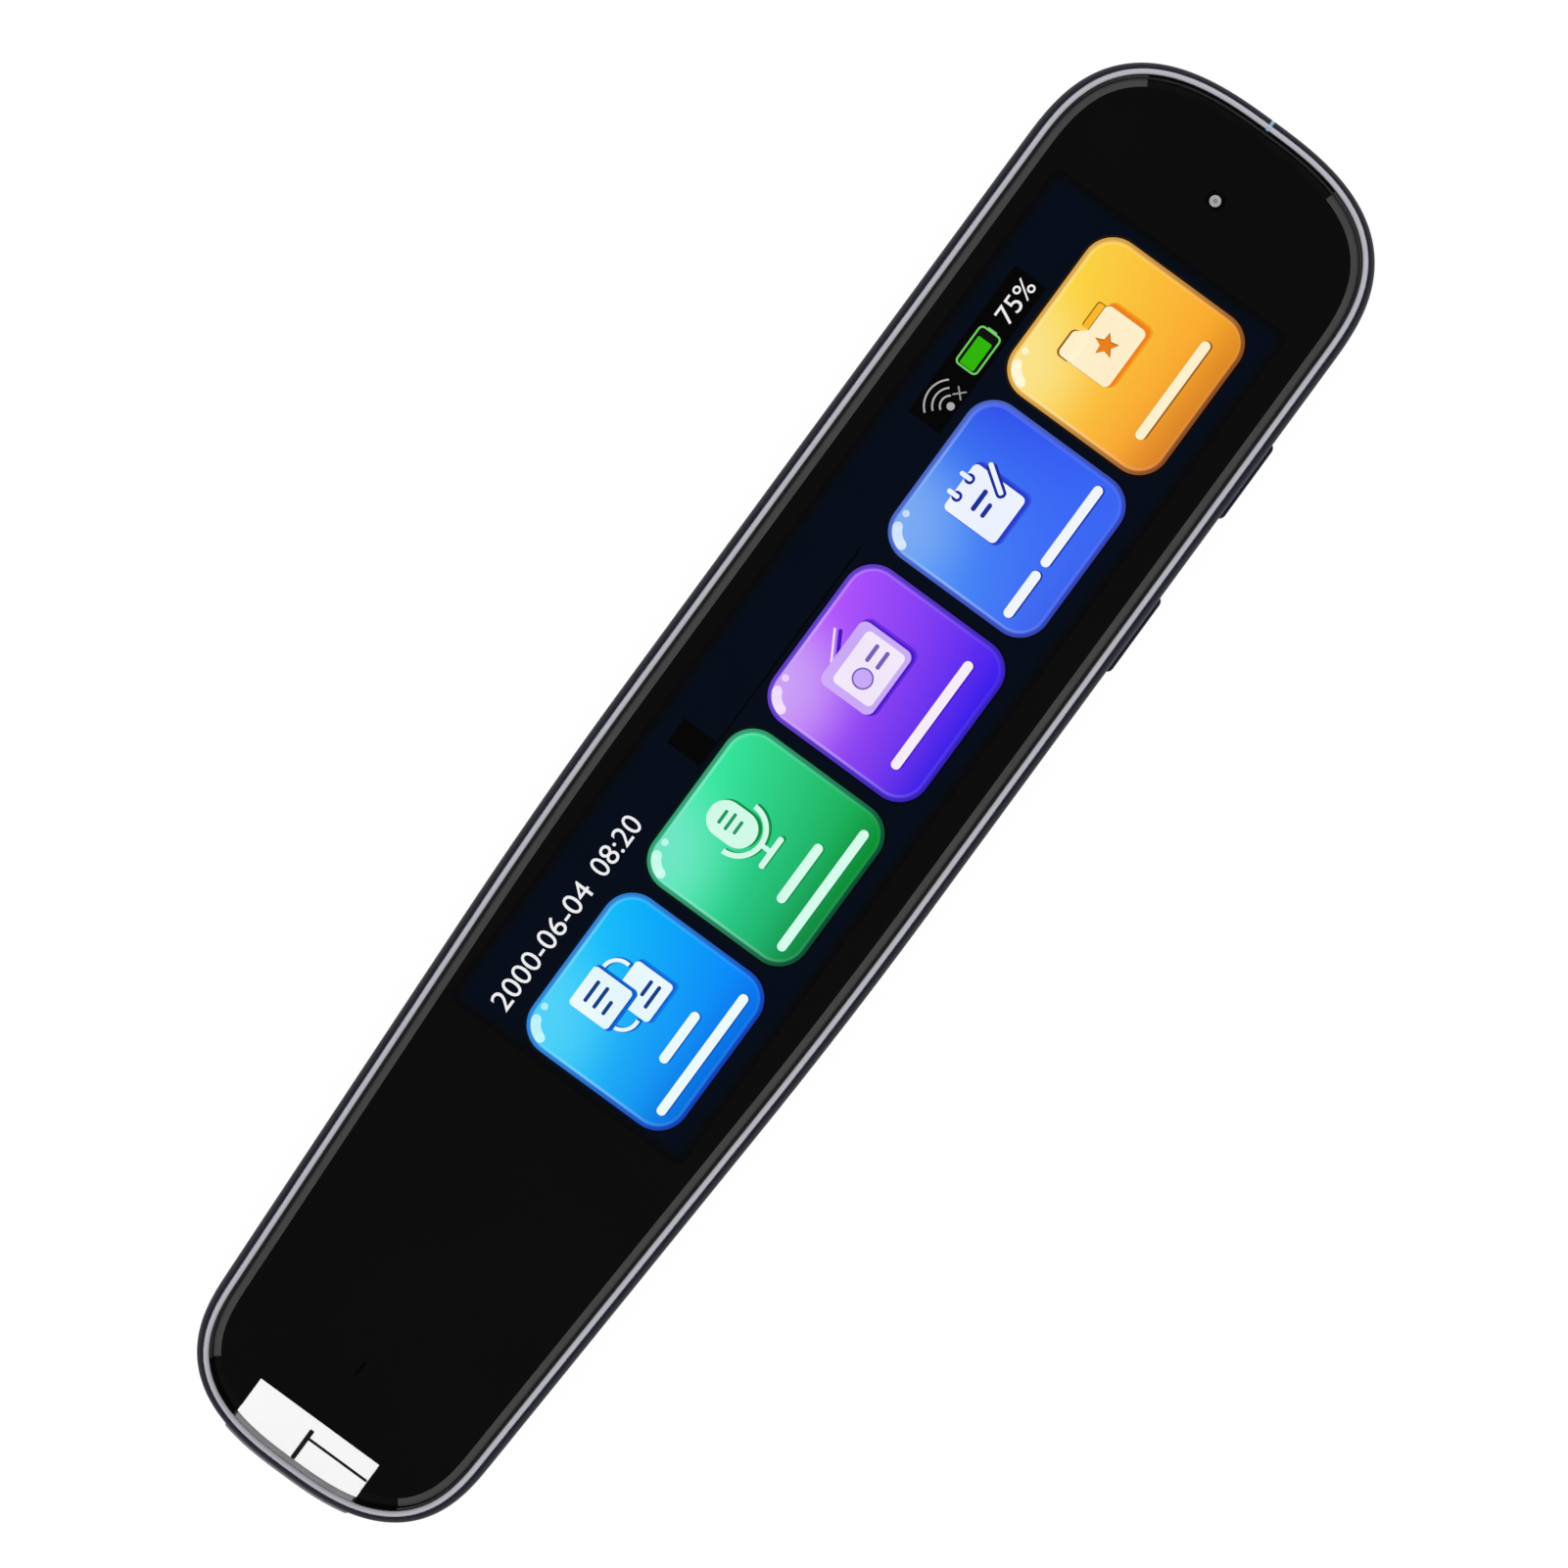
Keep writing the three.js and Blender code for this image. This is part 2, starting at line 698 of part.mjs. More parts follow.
function makeCoverGlass() {
  const levels = [[glassInset, glassBottomZ]];
  const edgeHeight = glassThickness - glassEdgeFlat;
  for (let i = 0; i <= curveSteps; i++) {
    const turn = Math.PI / 2 * i / curveSteps;
    levels.push([glassInset + glassEdgeWidth * (1 - Math.cos(turn)),
      glassBottomZ + glassEdgeFlat + edgeHeight * Math.sin(turn)]);
  }
  const micHole = rodAlongZ(micHoleRadius, 0, micY, glassBottomZ - overrun, penThickness + overrun,
    roundSides);
  const sightNotch = block(-sightHalfWidth, sightHalfWidth, tipEndY - overrun, sightStartY,
    glassBottomZ - overrun, penThickness + overrun);
  return cut(loft(levels), micHole, sightNotch);
}

addPiece('cover_glass', makeCoverGlass(), blackGlass);

const sightTopZ = penThickness - sightSink;
const sightBody = loft([[glassInset + sightGap, glassBottomZ], [glassInset + sightGap, sightTopZ]]);
const sightLimit = block(-sightHalfWidth + sightGap, sightHalfWidth - sightGap, tipEndY - overrun,
  sightStartY - sightGap, glassBottomZ - overrun, penThickness + overrun);
addPiece('aim_window', shared(sightBody, sightLimit), whitePlastic);
addPiece('aim_mark', block(-markOffset - markWidth / 2, -markOffset + markWidth / 2,
  sightStartY - markStart - markLength, sightStartY - markStart, sightTopZ, penThickness), inkBlack);

// Display, backlight, foam and the chassis plate that carries them

addPiece('display_panel', block(-displayHalfWidth, displayHalfWidth, displayEndY, displayTopY,
  displayBottomZ, glassBottomZ), displayBlue);
addPiece('backlight_unit', block(-displayHalfWidth, displayHalfWidth, displayEndY, displayTopY,
  backlightBottomZ, displayBottomZ), whitePlastic);
const foamHalfWidth = displayHalfWidth - foamSideMargin;
addPiece('display_foam', block(-foamHalfWidth, foamHalfWidth, displayEndY + foamEndMargin,
  displayTopY - foamEndMargin, plateTopZ, backlightBottomZ), blackRubber);

const displayFlexEndY = displayTopY + displayFlexReach;

function makeChassisPlate() {
  const inset = wall + plateGap;
  const sheet = loft([[inset, plateBottomZ], [inset, plateTopZ]]);
  const holes = screwPlaces.map(({ x, y }) =>
    rodAlongZ(screwHoleRadius, x, y, plateBottomZ - overrun, plateTopZ + overrun, smallSides));
  const slotHalf = displayFlexWidth / 2 + displayFlexSlotGap;
  const flexSlot = block(-slotHalf, slotHalf, displayFlexEndY - flexThickness - displayFlexSlotGap,
    displayFlexEndY + displayFlexSlotGap, plateBottomZ - overrun, plateTopZ + overrun);
  const glowHole = block(-sightHalfWidth, sightHalfWidth, noseBackY - noseFlangeThickness, sightStartY,
    plateBottomZ - overrun, plateTopZ + overrun);
  return cut(sheet, ...holes, flexSlot, glowHole);
}

addPiece('chassis_plate', makeChassisPlate(), steel);

function makeScrew() {
  return join(
    rodAlongZ(screwHeadRadius, 0, 0, 0, screwHeadHeight, smallSides),
    rodAlongZ(screwShankRadius, 0, 0, -screwLength, screwHeadHeight / 2, smallSides));
}

screwPlaces.forEach(({ x, y }, i) => {
  addPiece(`chassis_screw_${i + 1}`, makeScrew(), steel).position.set(x, y, plateTopZ);
});

// Microphone on the plate, its rubber boot, and the grommet in the glass

const micTopZ = plateTopZ + micHeight;
addPiece('microphone', block(-micWidth / 2, micWidth / 2, micY - micLength / 2, micY + micLength / 2,
  plateTopZ, micTopZ), steel);
addPiece('mic_boot', cut(
  rodAlongZ(micBootRadius, 0, micY, micTopZ, glassBottomZ, roundSides),
  rodAlongZ(micBoreRadius, 0, micY, micTopZ - overrun, glassBottomZ + overrun, smallSides)), blackRubber);
addPiece('mic_grommet', cut(
  rodAlongZ(micGrommetRadius, 0, micY, glassBottomZ, sightTopZ, roundSides),
  rodAlongZ(micBoreRadius, 0, micY, glassBottomZ - overrun, sightTopZ + overrun, smallSides)), greyPlastic);

// Status light: an LED on the plate and a thin light pipe that fills the slit in the frame

function makeLightPipe() {
  const outerY = wideEndY - frameInset - lightPipeGap;
  const rimY = wideEndY - frameOuterInset + lightPipeGap;
  const coverY = wideEndY - wall - shoulderInset - lightPipeGap;
  const lowZ = plateTopZ + lightPipeGap;
  const stepZ = coverTopZ + lightPipeGap;
  const roofZ = frameStepZ - lightPipeGap;
  const startY = wideEndY - frameStepInset - lightPipeDepth;
  return extrudeAlongX([
    [startY, lowZ],
    [coverY, lowZ],
    [coverY, stepZ],
    [outerY, stepZ],
    [(outerY + rimY) / 2, frameTopZ - lightPipeGap / 2],
    [rimY, frameTopZ - lightPipeGap / 2],
    [rimY, roofZ],
    [coverY - lightPipeDepth, roofZ],
    [coverY - lightPipeDepth, lowZ + lightPipeDepth],
    [startY, lowZ + lightPipeDepth],
  ], -lightPipeHalfWidth, lightPipeHalfWidth);
}

addPiece('status_light_pipe', makeLightPipe(), blueLight);
const statusLedY = wideEndY - frameStepInset - lightPipeDepth - lightPipeGap;
addPiece('status_led', block(-ledHalfWidth, ledHalfWidth, statusLedY - ledLength, statusLedY,
  plateTopZ, plateTopZ + ledHeight), whitePlastic);

// Side keys, each with its plunger and switch, in a frame at the middle of the key

function makeKeyCap() {
  const faceX = halfWidth + keyProud;
  const half = keyLength / 2;
  const shape = new THREE.Shape([
    new THREE.Vector2(keyFlangeX - jointBite, -half),
    new THREE.Vector2(faceX - keyBevel, -half),
    new THREE.Vector2(faceX, -half + keyBevel),
    new THREE.Vector2(faceX, half - keyBevel),
    new THREE.Vector2(faceX - keyBevel, half),
    new THREE.Vector2(keyFlangeX - jointBite, half),
  ]);
  const cap = new THREE.ExtrudeGeometry(shape, { depth: keyHeight, bevelEnabled: false });
  const backX = keyFlangeX - keyFlangeThickness;
  return join(
    cap.translate(0, 0, -keyHeight / 2),
    block(backX, keyFlangeX, -half - keyFlangeRim, half + keyFlangeRim,
      -keyHeight / 2 - keyFlangeRim, keyHeight / 2 + keyFlangeRim),
    block(backX - keyNubLength, backX + jointBite, -keyNubWidth / 2, keyNubWidth / 2,
      -keyNubHeight / 2, keyNubHeight / 2));
}

function makeKeySwitch() {
  const body = block(keyBoardOuterX, keySwitchFaceX, -switchLength / 2, switchLength / 2,
    -switchHeight / 2, switchHeight / 2);
  const recessX = keySwitchFaceX + switchMargin - plungerLength - switchFloorGap;
  const recess = block(recessX, keySwitchFaceX + overrun,
    -plungerWidth / 2 - keyClearance, plungerWidth / 2 + keyClearance,
    -plungerHeight / 2 - keyClearance, plungerHeight / 2 + keyClearance);
  return cut(body, recess);
}

for (const { word, y } of keyPlaces) {
  const key = new THREE.Group();
  key.position.set(0, y, keyCentreZ);
  group.add(key);
  const nubX = keySwitchFaceX + switchMargin + keyTravel;
  addPiece(`${word}_key`, makeKeyCap(), navyMetal, key);
  addPiece(`${word}_key_plunger`, block(nubX - plungerLength, nubX, -plungerWidth / 2, plungerWidth / 2,
    -plungerHeight / 2, plungerHeight / 2), inkBlack, key);
  addPiece(`${word}_key_switch`, makeKeySwitch(), steel, key);
}

addPiece('side_key_board', block(keyBoardInnerX, keyBoardOuterX, keyBoardStartY, keyBoardEndY,
  wall + keyBoardLift, keyCentreZ + switchHeight / 2), boardGreen);

// Scanning nose with its window, return springs and trigger

function makeScanNose() {
  const body = shared(
    loft([[-noseProud, noseFloorZ], [-noseProud, noseTopZ]]),
    block(-noseHalfWidth, noseHalfWidth, tipEndY - overrun, noseBackY, noseFloorZ, noseTopZ));
  const flangeHalf = noseHalfWidth + noseFlangeWidth;
  const flange = block(-flangeHalf, flangeHalf, noseBackY - noseFlangeThickness, noseBackY,
    noseTopZ - noseFlangeHeight, noseTopZ);
  const stemStartY = noseBackY - jointBite;
  const stems = sides.map(({ sign }) =>
    rodAlongY(stemRadius, sign * stemX, stemZ, stemStartY, noseBackY + stemLength, smallSides));
  const throat = cut(
    block(-noseHalfWidth + noseSide, noseHalfWidth - noseSide, tipEndY - overrun, noseBackY + overrun,
      noseFloorZ + noseFloor, noseTopZ - noseRoof),
    beyondSlant(noseProud - noseFront));
  const aperture = behindSlant(block(-windowHalfWidth, windowHalfWidth, -overrun, overrun,
    -windowHeight / 2, windowHeight / 2));
  const rebateWidth = windowHalfWidth + windowRebate;
  const rebateHeight = windowHeight / 2 + windowRebate;
  const rebate = behindSlant(block(-rebateWidth, rebateWidth, -overrun, windowThickness + windowClearance,
    -rebateHeight, rebateHeight));
  return cut(join(cut(body, beyondSlant(noseProud)), flange, ...stems), throat, aperture, rebate);
}

addPiece('scan_nose', makeScanNose(), greyPlastic);

const paneHalfWidth = windowHalfWidth + windowRebate - windowClearance;
const paneHalfHeight = windowHeight / 2 + windowRebate - windowClearance;
addPiece('scan_window', behindSlant(block(-paneHalfWidth, paneHalfWidth, 0, windowThickness,
  -paneHalfHeight, paneHalfHeight)), clearPlastic);

class SpringCurve extends THREE.Curve {
  constructor(length) {
    super();
    this.length = length;
  }

  getPoint(t, target = new THREE.Vector3()) {
    const turn = t * springTurns * Math.PI * 2;
    return target.set(springRadius * Math.cos(turn), t * this.length, springRadius * Math.sin(turn));
  }
}

const springStartY = noseBackY + springWire / 2 + springSeatGap;
const springEndY = bracketWallY - springWire / 2 - springSeatGap;
for (const { word, sign } of sides) {
  const wire = new THREE.Shape();
  wire.absarc(0, 0, springWire / 2, 0, Math.PI * 2, false);
  const coil = new THREE.ExtrudeGeometry(wire, {
    steps: springTurns * springStepsPerTurn,
    curveSegments: springSegments,
    bevelEnabled: false,
    extrudePath: new SpringCurve(springEndY - springStartY),
  });
  addPiece(`nose_spring_${word}`, coil, steel).position.set(sign * stemX, springStartY, stemZ);
}

const triggerZ = bracketTopZ + triggerHeight / 2;
const triggerPlungerEndY = bracketFrontY + triggerPlungerBite;
const triggerRecess = block(-triggerPlungerWidth / 2 - triggerWall, triggerPlungerWidth / 2 + triggerWall,
  bracketFrontY - overrun, triggerPlungerEndY + noseTravel + triggerFloorGap,
  -triggerHeight / 2 + triggerWall, triggerHeight / 2 - triggerWall);
const triggerBody = block(-triggerWidth / 2, triggerWidth / 2, bracketFrontY, bracketWallY - triggerWallGap,
  -triggerHeight / 2, triggerHeight / 2);
addPiece('trigger_switch', cut(triggerBody, triggerRecess), chipBlack).position.set(-scanLedX, 0, triggerZ);
addPiece('trigger_plunger', block(-triggerPlungerWidth / 2, triggerPlungerWidth / 2, noseBackY,
  triggerPlungerEndY, -triggerPlungerHeight / 2, triggerPlungerHeight / 2), whitePlastic)
  .position.set(-scanLedX, 0, triggerZ);

// Scan bracket, camera, lights and light guides

function makeScanBracket() {
  const base = block(-bracketHalfWidth, bracketHalfWidth, bracketFrontY,
    scanBoardY + scanBoardThickness + bracketTail, wall, bracketTopZ);
  const wallPiece = block(-bracketHalfWidth, bracketHalfWidth, bracketWallY,
    bracketWallY + bracketWallThickness, wall, plateBottomZ - bracketPlateGap);
  const guideSeatZ = scanAxisZ - guideWidth / 2 - guideSeatGap;
  const openHalf = scanLedX + guideWidth / 2 + guideSeatGap;
  const cutStart = bracketWallY - overrun;
  const cutEnd = bracketWallY + bracketWallThickness + overrun;
  const view = block(-openHalf, openHalf, cutStart, cutEnd, guideSeatZ, noseTopZ + overrun);
  const lowHalf = scanLedX - guideWidth;
  const lowView = block(-lowHalf, lowHalf, cutStart, cutEnd, bracketTopZ, noseTopZ + overrun);
  const stemHoles = sides.map(({ sign }) =>
    rodAlongY(stemRadius + stemHoleGap, sign * stemX, stemZ, cutStart, cutEnd, smallSides));
  const posts = sides.map(({ sign }) => {
    const near = sign * (scanBoardHalfWidth + scanBoardPostGap);
    const far = near + sign * bracketPostThickness;
    return block(Math.min(near, far), Math.max(near, far), scanBoardY - scanBoardThickness,
      scanBoardY + scanBoardThickness, wall, bracketTopZ + bracketPostHeight);
  });
  return cut(join(base, wallPiece, ...posts), view, lowView, ...stemHoles);
}

addPiece('scan_bracket', makeScanBracket(), steel);
addPiece('scan_board', block(-scanBoardHalfWidth, scanBoardHalfWidth, scanBoardY,
  scanBoardY + scanBoardThickness, bracketTopZ, plateBottomZ - scanBoardPlateGap), boardGreen);
addPiece('image_sensor', block(-sensorWidth / 2, sensorWidth / 2, scanBoardY - sensorThickness, scanBoardY,
  scanAxisZ - sensorHeight / 2, scanAxisZ + sensorHeight / 2), chipBlack);

const holderFrontY = scanBoardY - holderDepth;
const sensorRoomHalf = sensorWidth / 2 + sensorGap;
const sensorRoomHalfHeight = sensorHeight / 2 + sensorGap / 2;
addPiece('camera_holder', cut(
  block(-holderHalfWidth, holderHalfWidth, holderFrontY, scanBoardY,
    scanAxisZ - holderHeight / 2, scanAxisZ + holderHeight / 2),
  block(-sensorRoomHalf, sensorRoomHalf, scanBoardY - sensorThickness - sensorGap, scanBoardY + overrun,
    scanAxisZ - sensorRoomHalfHeight, scanAxisZ + sensorRoomHalfHeight),
  rodAlongY(barrelRadius + barrelGap, 0, scanAxisZ, holderFrontY - overrun,
    scanBoardY - sensorThickness, roundSides),
), inkBlack);

const barrelFrontY = holderFrontY - barrelReach;
addPiece('lens_barrel', cut(
  rodAlongY(barrelRadius, 0, scanAxisZ, barrelFrontY, barrelFrontY + barrelLength, roundSides),
  rodAlongY(barrelBoreRadius, 0, scanAxisZ, barrelFrontY - overrun,
    barrelFrontY + barrelLength + overrun, roundSides),
), inkBlack);
const lensFrontY = barrelFrontY + lensSetback;
addPiece('camera_lens', rodAlongY(barrelBoreRadius - lensGap, 0, scanAxisZ, lensFrontY,
  lensFrontY + lensThickness, roundSides), clearPlastic);

for (const { word, sign } of sides) {
  addPiece(`scan_led_${word}`, block(-scanLedWidth / 2, scanLedWidth / 2, scanBoardY - scanLedThickness,
    scanBoardY, -scanLedWidth / 2, scanLedWidth / 2), whitePlastic)
    .position.set(sign * scanLedX, 0, scanAxisZ);
  addPiece(`light_guide_${word}`, block(-guideWidth / 2, guideWidth / 2, noseBackY - guideBite,
    scanBoardY - scanLedThickness - guideGap, -guideWidth / 2, guideWidth / 2), clearPlastic)
    .position.set(sign * scanLedX, 0, scanAxisZ);
}

// Battery on its adhesive, with two leads to the main board

addPiece('battery_tape', block(-batteryHalfWidth + batteryEdge, batteryHalfWidth - batteryEdge,
  batteryStartY + batteryEdge, batteryEndY - batteryEdge, wall, batteryBottomZ), blackRubber);
const batteryHeight = batteryTopZ - batteryBottomZ;
const batteryCornerX = batteryHalfWidth - batteryEdge;
const batteryCornerZ = batteryHeight / 2 - batteryEdge;
const batteryShape = new THREE.Shape();
batteryShape.absarc(batteryCornerX, -batteryCornerZ, batteryEdge, -Math.PI / 2, 0, false);
batteryShape.absarc(batteryCornerX, batteryCornerZ, batteryEdge, 0, Math.PI / 2, false);
batteryShape.absarc(-batteryCornerX, batteryCornerZ, batteryEdge, Math.PI / 2, Math.PI, false);
batteryShape.absarc(-batteryCornerX, -batteryCornerZ, batteryEdge, Math.PI, Math.PI * 3 / 2, false);
addPiece('battery', new THREE.ExtrudeGeometry(batteryShape, {
  depth: batteryLength,
  bevelEnabled: false,
  curveSegments: roundSegments,
}).rotateX(Math.PI / 2), batteryWrap).position.set(0, batteryEndY, batteryBottomZ + batteryHeight / 2);

const connectorY = boardStartY + connectorSetback;
addPiece('battery_connector', block(connectorX - connectorWidth / 2, connectorX + connectorWidth / 2,
  connectorY, connectorY + connectorLength, boardTopZ, boardTopZ + connectorHeight), whitePlastic);

// A lead rises from the end of the battery, passes the speaker and drops to the connector
function makeLead(x) {
  const startY = batteryEndY + leadEndGap;
  const endY = connectorY - leadEndGap;
  const startZ = batteryTopZ - leadLift;
  const endZ = boardTopZ + connectorHeight / 2;
  const run = endY - startY;
  const path = new THREE.CubicBezierCurve3(
    new THREE.Vector3(x, startY, startZ),
    new THREE.Vector3(x, startY + run / 2, startZ),
    new THREE.Vector3(x, startY + run / 2, endZ),
    new THREE.Vector3(x, endY, endZ));
  const section = new THREE.Shape();
  section.absarc(0, 0, leadRadius, 0, Math.PI * 2, false);
  return new THREE.ExtrudeGeometry(section, {
    steps: leadSteps,
    curveSegments: leadSegments,
    bevelEnabled: false,
    extrudePath: path,
  });
}

addPiece('battery_lead_red', makeLead(leadX), redWire);
addPiece('battery_lead_black', makeLead(leadX + leadPitch), blackWire);

// Speaker over the sound holes, on a gasket

const speakerBottomZ = wall + speakerGasketThickness;
const gasketHalf = speakerHalfWidth - speakerGasketRim;
addPiece('speaker_gasket', cut(
  block(-speakerHalfWidth, speakerHalfWidth, speakerStartY, speakerEndY, wall, speakerBottomZ),
  block(-gasketHalf, gasketHalf, speakerStartY + speakerGasketRim, speakerEndY - speakerGasketRim,
    wall - overrun, speakerBottomZ + overrun),
), blackRubber);
addPiece('speaker', cut(
  block(-speakerHalfWidth, speakerHalfWidth, speakerStartY, speakerEndY,
    speakerBottomZ, speakerBottomZ + speakerHeight),
  rodAlongZ(speakerConeRadius, 0, speakerCentreY, speakerBottomZ - overrun,
    speakerBottomZ + speakerConeDepth, roundSides),
), inkBlack);

// Main board, held on the posts of the cover, and its chips

function makeMainBoard() {
  const sheet = shared(
    loft([[boardInset, boardBottomZ], [boardInset, boardTopZ]]),
    block(-halfWidth, boardEdgeX, boardStartY, boardEndY, boardBottomZ, boardTopZ));
  const pinHoles = postPlaces.map(({ x, y }) =>
    rodAlongZ(pinRadius + pinGap, x, y, boardBottomZ - overrun, boardTopZ + overrun, smallSides));
  const bossHoles = screwPlaces.map(({ x, y }) =>
    rodAlongZ(bossRadius + boardBossGap, x, y, boardBottomZ - overrun, boardTopZ + overrun, smallSides));
  return cut(sheet, ...pinHoles, ...bossHoles);
}

addPiece('main_board', makeMainBoard(), boardGreen);

function addChip(name, x, fromEnd, sizeX, sizeY, height, material) {
  addPiece(name, block(-sizeX / 2, sizeX / 2, -sizeY / 2, sizeY / 2, 0, height), material)
    .position.set(x, wideEndY - fromEnd, boardTopZ);
}

const radioX = radioFromSide + radioWidth / 2 - halfWidth;
const processorLeftX = radioX + radioWidth / 2 + processorRadioGap;
const processorRightX = rightPostX - pinRadius - processorPinGap;
const processorX = (processorLeftX + processorRightX) / 2;
addChip('processor_shield', processorX, processorFromEnd, processorRightX - processorLeftX, processorLength,
  processorHeight, steel);
addChip('memory_chip', processorX, memoryFromEnd, memoryWidth, memoryLength, memoryHeight, chipBlack);
addChip('radio_shield', radioX, radioFromEnd, radioWidth, radioLength, radioHeight, steel);

// Charging port: a drawn steel shell with a tongue on its moulded base

const usbBackY = usbMouthY - usbDepth;
addPiece('usb_shell', cut(
  slotAlongY(usbWidth, usbHeight, usbBackY, usbMouthY, usbCentreZ),
  slotAlongY(usbWidth - 2 * usbShellWall, usbHeight - 2 * usbShellWall, usbBackY + usbShellWall,
    usbMouthY + overrun, usbCentreZ),
), steel);
const usbBaseY = usbBackY + usbShellWall;
const usbTongueHalf = usbTongueThickness / 2;
addPiece('usb_tongue', join(
  slotAlongY(usbWidth - 2 * usbShellWall - 2 * usbBaseGap, usbHeight - 2 * usbShellWall - 2 * usbBaseGap,
    usbBaseY, usbBaseY + usbBaseDepth, usbCentreZ),
  block(-usbTongueWidth / 2, usbTongueWidth / 2, usbBaseY + usbBaseDepth - jointBite,
    usbBaseY + usbBaseDepth + usbTongueReach, usbCentreZ - usbTongueHalf, usbCentreZ + usbTongueHalf),
), inkBlack);

// Flat flexes: display to main board through the plate, and scan board to main board over the battery

const displayFlexZ = (backlightBottomZ + displayBottomZ) / 2;
const flexFootZ = boardTopZ + flexThickness;
addPiece('display_flex', extrudeAlongX([
  [displayTopY, displayFlexZ],
  [displayFlexEndY - flexThickness, displayFlexZ],
  [displayFlexEndY - flexThickness, flexFootZ],
  [displayFlexEndY - displayFlexFoot, flexFootZ],
  [displayFlexEndY - displayFlexFoot, boardTopZ],
  [displayFlexEndY, boardTopZ],
  [displayFlexEndY, displayFlexZ + flexThickness],
  [displayTopY, displayFlexZ + flexThickness],
], -displayFlexWidth / 2, displayFlexWidth / 2), flexAmber);

const scanFlexZ = batteryTopZ + flexAir;
const scanFlexStartY = scanBoardY + scanBoardThickness;
const scanFlexEndY = boardStartY + connectorSetback + scanFlexFoot;
addPiece('scan_flex', extrudeAlongX([
  [scanFlexStartY, scanFlexZ - scanFlexDrop],
  [scanFlexStartY + flexThickness, scanFlexZ - scanFlexDrop],
  [scanFlexStartY + flexThickness, scanFlexZ],
  [scanFlexEndY - scanFlexFoot, scanFlexZ],
  [scanFlexEndY - scanFlexFoot, boardTopZ],
  [scanFlexEndY, boardTopZ],
  [scanFlexEndY, flexFootZ],
  [scanFlexEndY - scanFlexFoot + flexThickness, flexFootZ],
  [scanFlexEndY - scanFlexFoot + flexThickness, scanFlexZ + flexThickness],
  [scanFlexStartY, scanFlexZ + flexThickness],
], -scanFlexWidth / 2, scanFlexWidth / 2), flexAmber);

export default group;
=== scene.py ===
# A scanning pen that lies on its flat back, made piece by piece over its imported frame.
# Sizes are in millimetres, and mm or at() turns them to metres.
# X runs toward the keys, Y toward the wide end, Z up.
import math

import bpy
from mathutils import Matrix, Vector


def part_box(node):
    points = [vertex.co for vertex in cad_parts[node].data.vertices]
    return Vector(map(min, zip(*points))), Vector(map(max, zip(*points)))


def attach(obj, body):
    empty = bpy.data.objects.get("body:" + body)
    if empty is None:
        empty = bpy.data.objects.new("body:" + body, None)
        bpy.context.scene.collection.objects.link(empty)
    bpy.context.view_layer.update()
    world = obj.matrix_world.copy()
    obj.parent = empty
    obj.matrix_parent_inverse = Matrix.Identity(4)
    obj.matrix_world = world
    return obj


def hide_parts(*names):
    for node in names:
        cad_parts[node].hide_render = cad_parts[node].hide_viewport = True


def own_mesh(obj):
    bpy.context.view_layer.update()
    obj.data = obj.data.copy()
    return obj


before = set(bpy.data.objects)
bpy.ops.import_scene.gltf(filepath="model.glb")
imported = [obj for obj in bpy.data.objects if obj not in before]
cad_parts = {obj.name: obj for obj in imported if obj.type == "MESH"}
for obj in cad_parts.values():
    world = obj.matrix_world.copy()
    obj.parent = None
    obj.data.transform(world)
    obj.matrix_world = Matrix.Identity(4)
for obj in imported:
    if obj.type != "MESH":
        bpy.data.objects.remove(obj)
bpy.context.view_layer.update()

# Rear cover: the moulded tray that holds everything, in dark navy plastic with a fine matte texture.
# Its outline is stepped in to the flat back and up to the shoulder, cut off at the slanted tip, hollowed,
# and pierced for the keys, the nose, the port and the speaker. Screw bosses and posts stand on its floor.
mm = 0.001
half_width = 17.05 * mm
wide_end_y = 75 * mm
tip_end_y = -75 * mm
wide_end_depth = 14.5 * mm
tip_end_depth = 11.5 * mm
taper_blend = 25 * mm
taper_slope = 2.45 / 51
corner_power = 2.75
corner_steps = 44
bend_steps = 10
wall = 1.3 * mm
base_curve_inset = 3.4 * mm
side_start_z = 4.4 * mm
shoulder_z = 6.4 * mm
shoulder_inset = 0.66 * mm
cover_top_z = 9.4 * mm
lip_width, lip_height, lip_turn = 0.88 * mm, 1.1 * mm, math.acos(0.25)
end_reach = 0.18 * mm
slant = math.radians(30)
slant_out = (0, -math.cos(slant), -math.sin(slant))


def side_half_width(y):
    run = -y
    if run <= 0:
        return half_width
    if run < taper_blend:
        return half_width - taper_slope * run * run / (2 * taper_blend)
    return half_width - taper_slope * (run - taper_blend / 2)


def case_outline():
    """Points of the outline anticlockwise from the middle of the tip."""
    power = 2 / corner_power
    tip_join, wide_join = tip_end_y + tip_end_depth, wide_end_y - wide_end_depth
    right = []
    for i in range(corner_steps + 1):
        turn = math.pi / 2 * (1 - i / corner_steps)
        y = tip_join - tip_end_depth * math.sin(turn) ** power
        right.append((side_half_width(y) * max(0, math.cos(turn)) ** power, y))
    for i in range(bend_steps + 1):
        y = -taper_blend * (1 - i / bend_steps)
        right.append((side_half_width(y), y))
    for i in range(corner_steps + 1):
        turn = math.pi / 2 * i / corner_steps
        y = wide_join + wide_end_depth * math.sin(turn) ** power
        right.append((half_width * max(0, math.cos(turn)) ** power, y))
    right[0], right[-1] = (0, tip_end_y), (0, wide_end_y)
    return right + [(-x, y) for x, y in reversed(right[1:-1])]


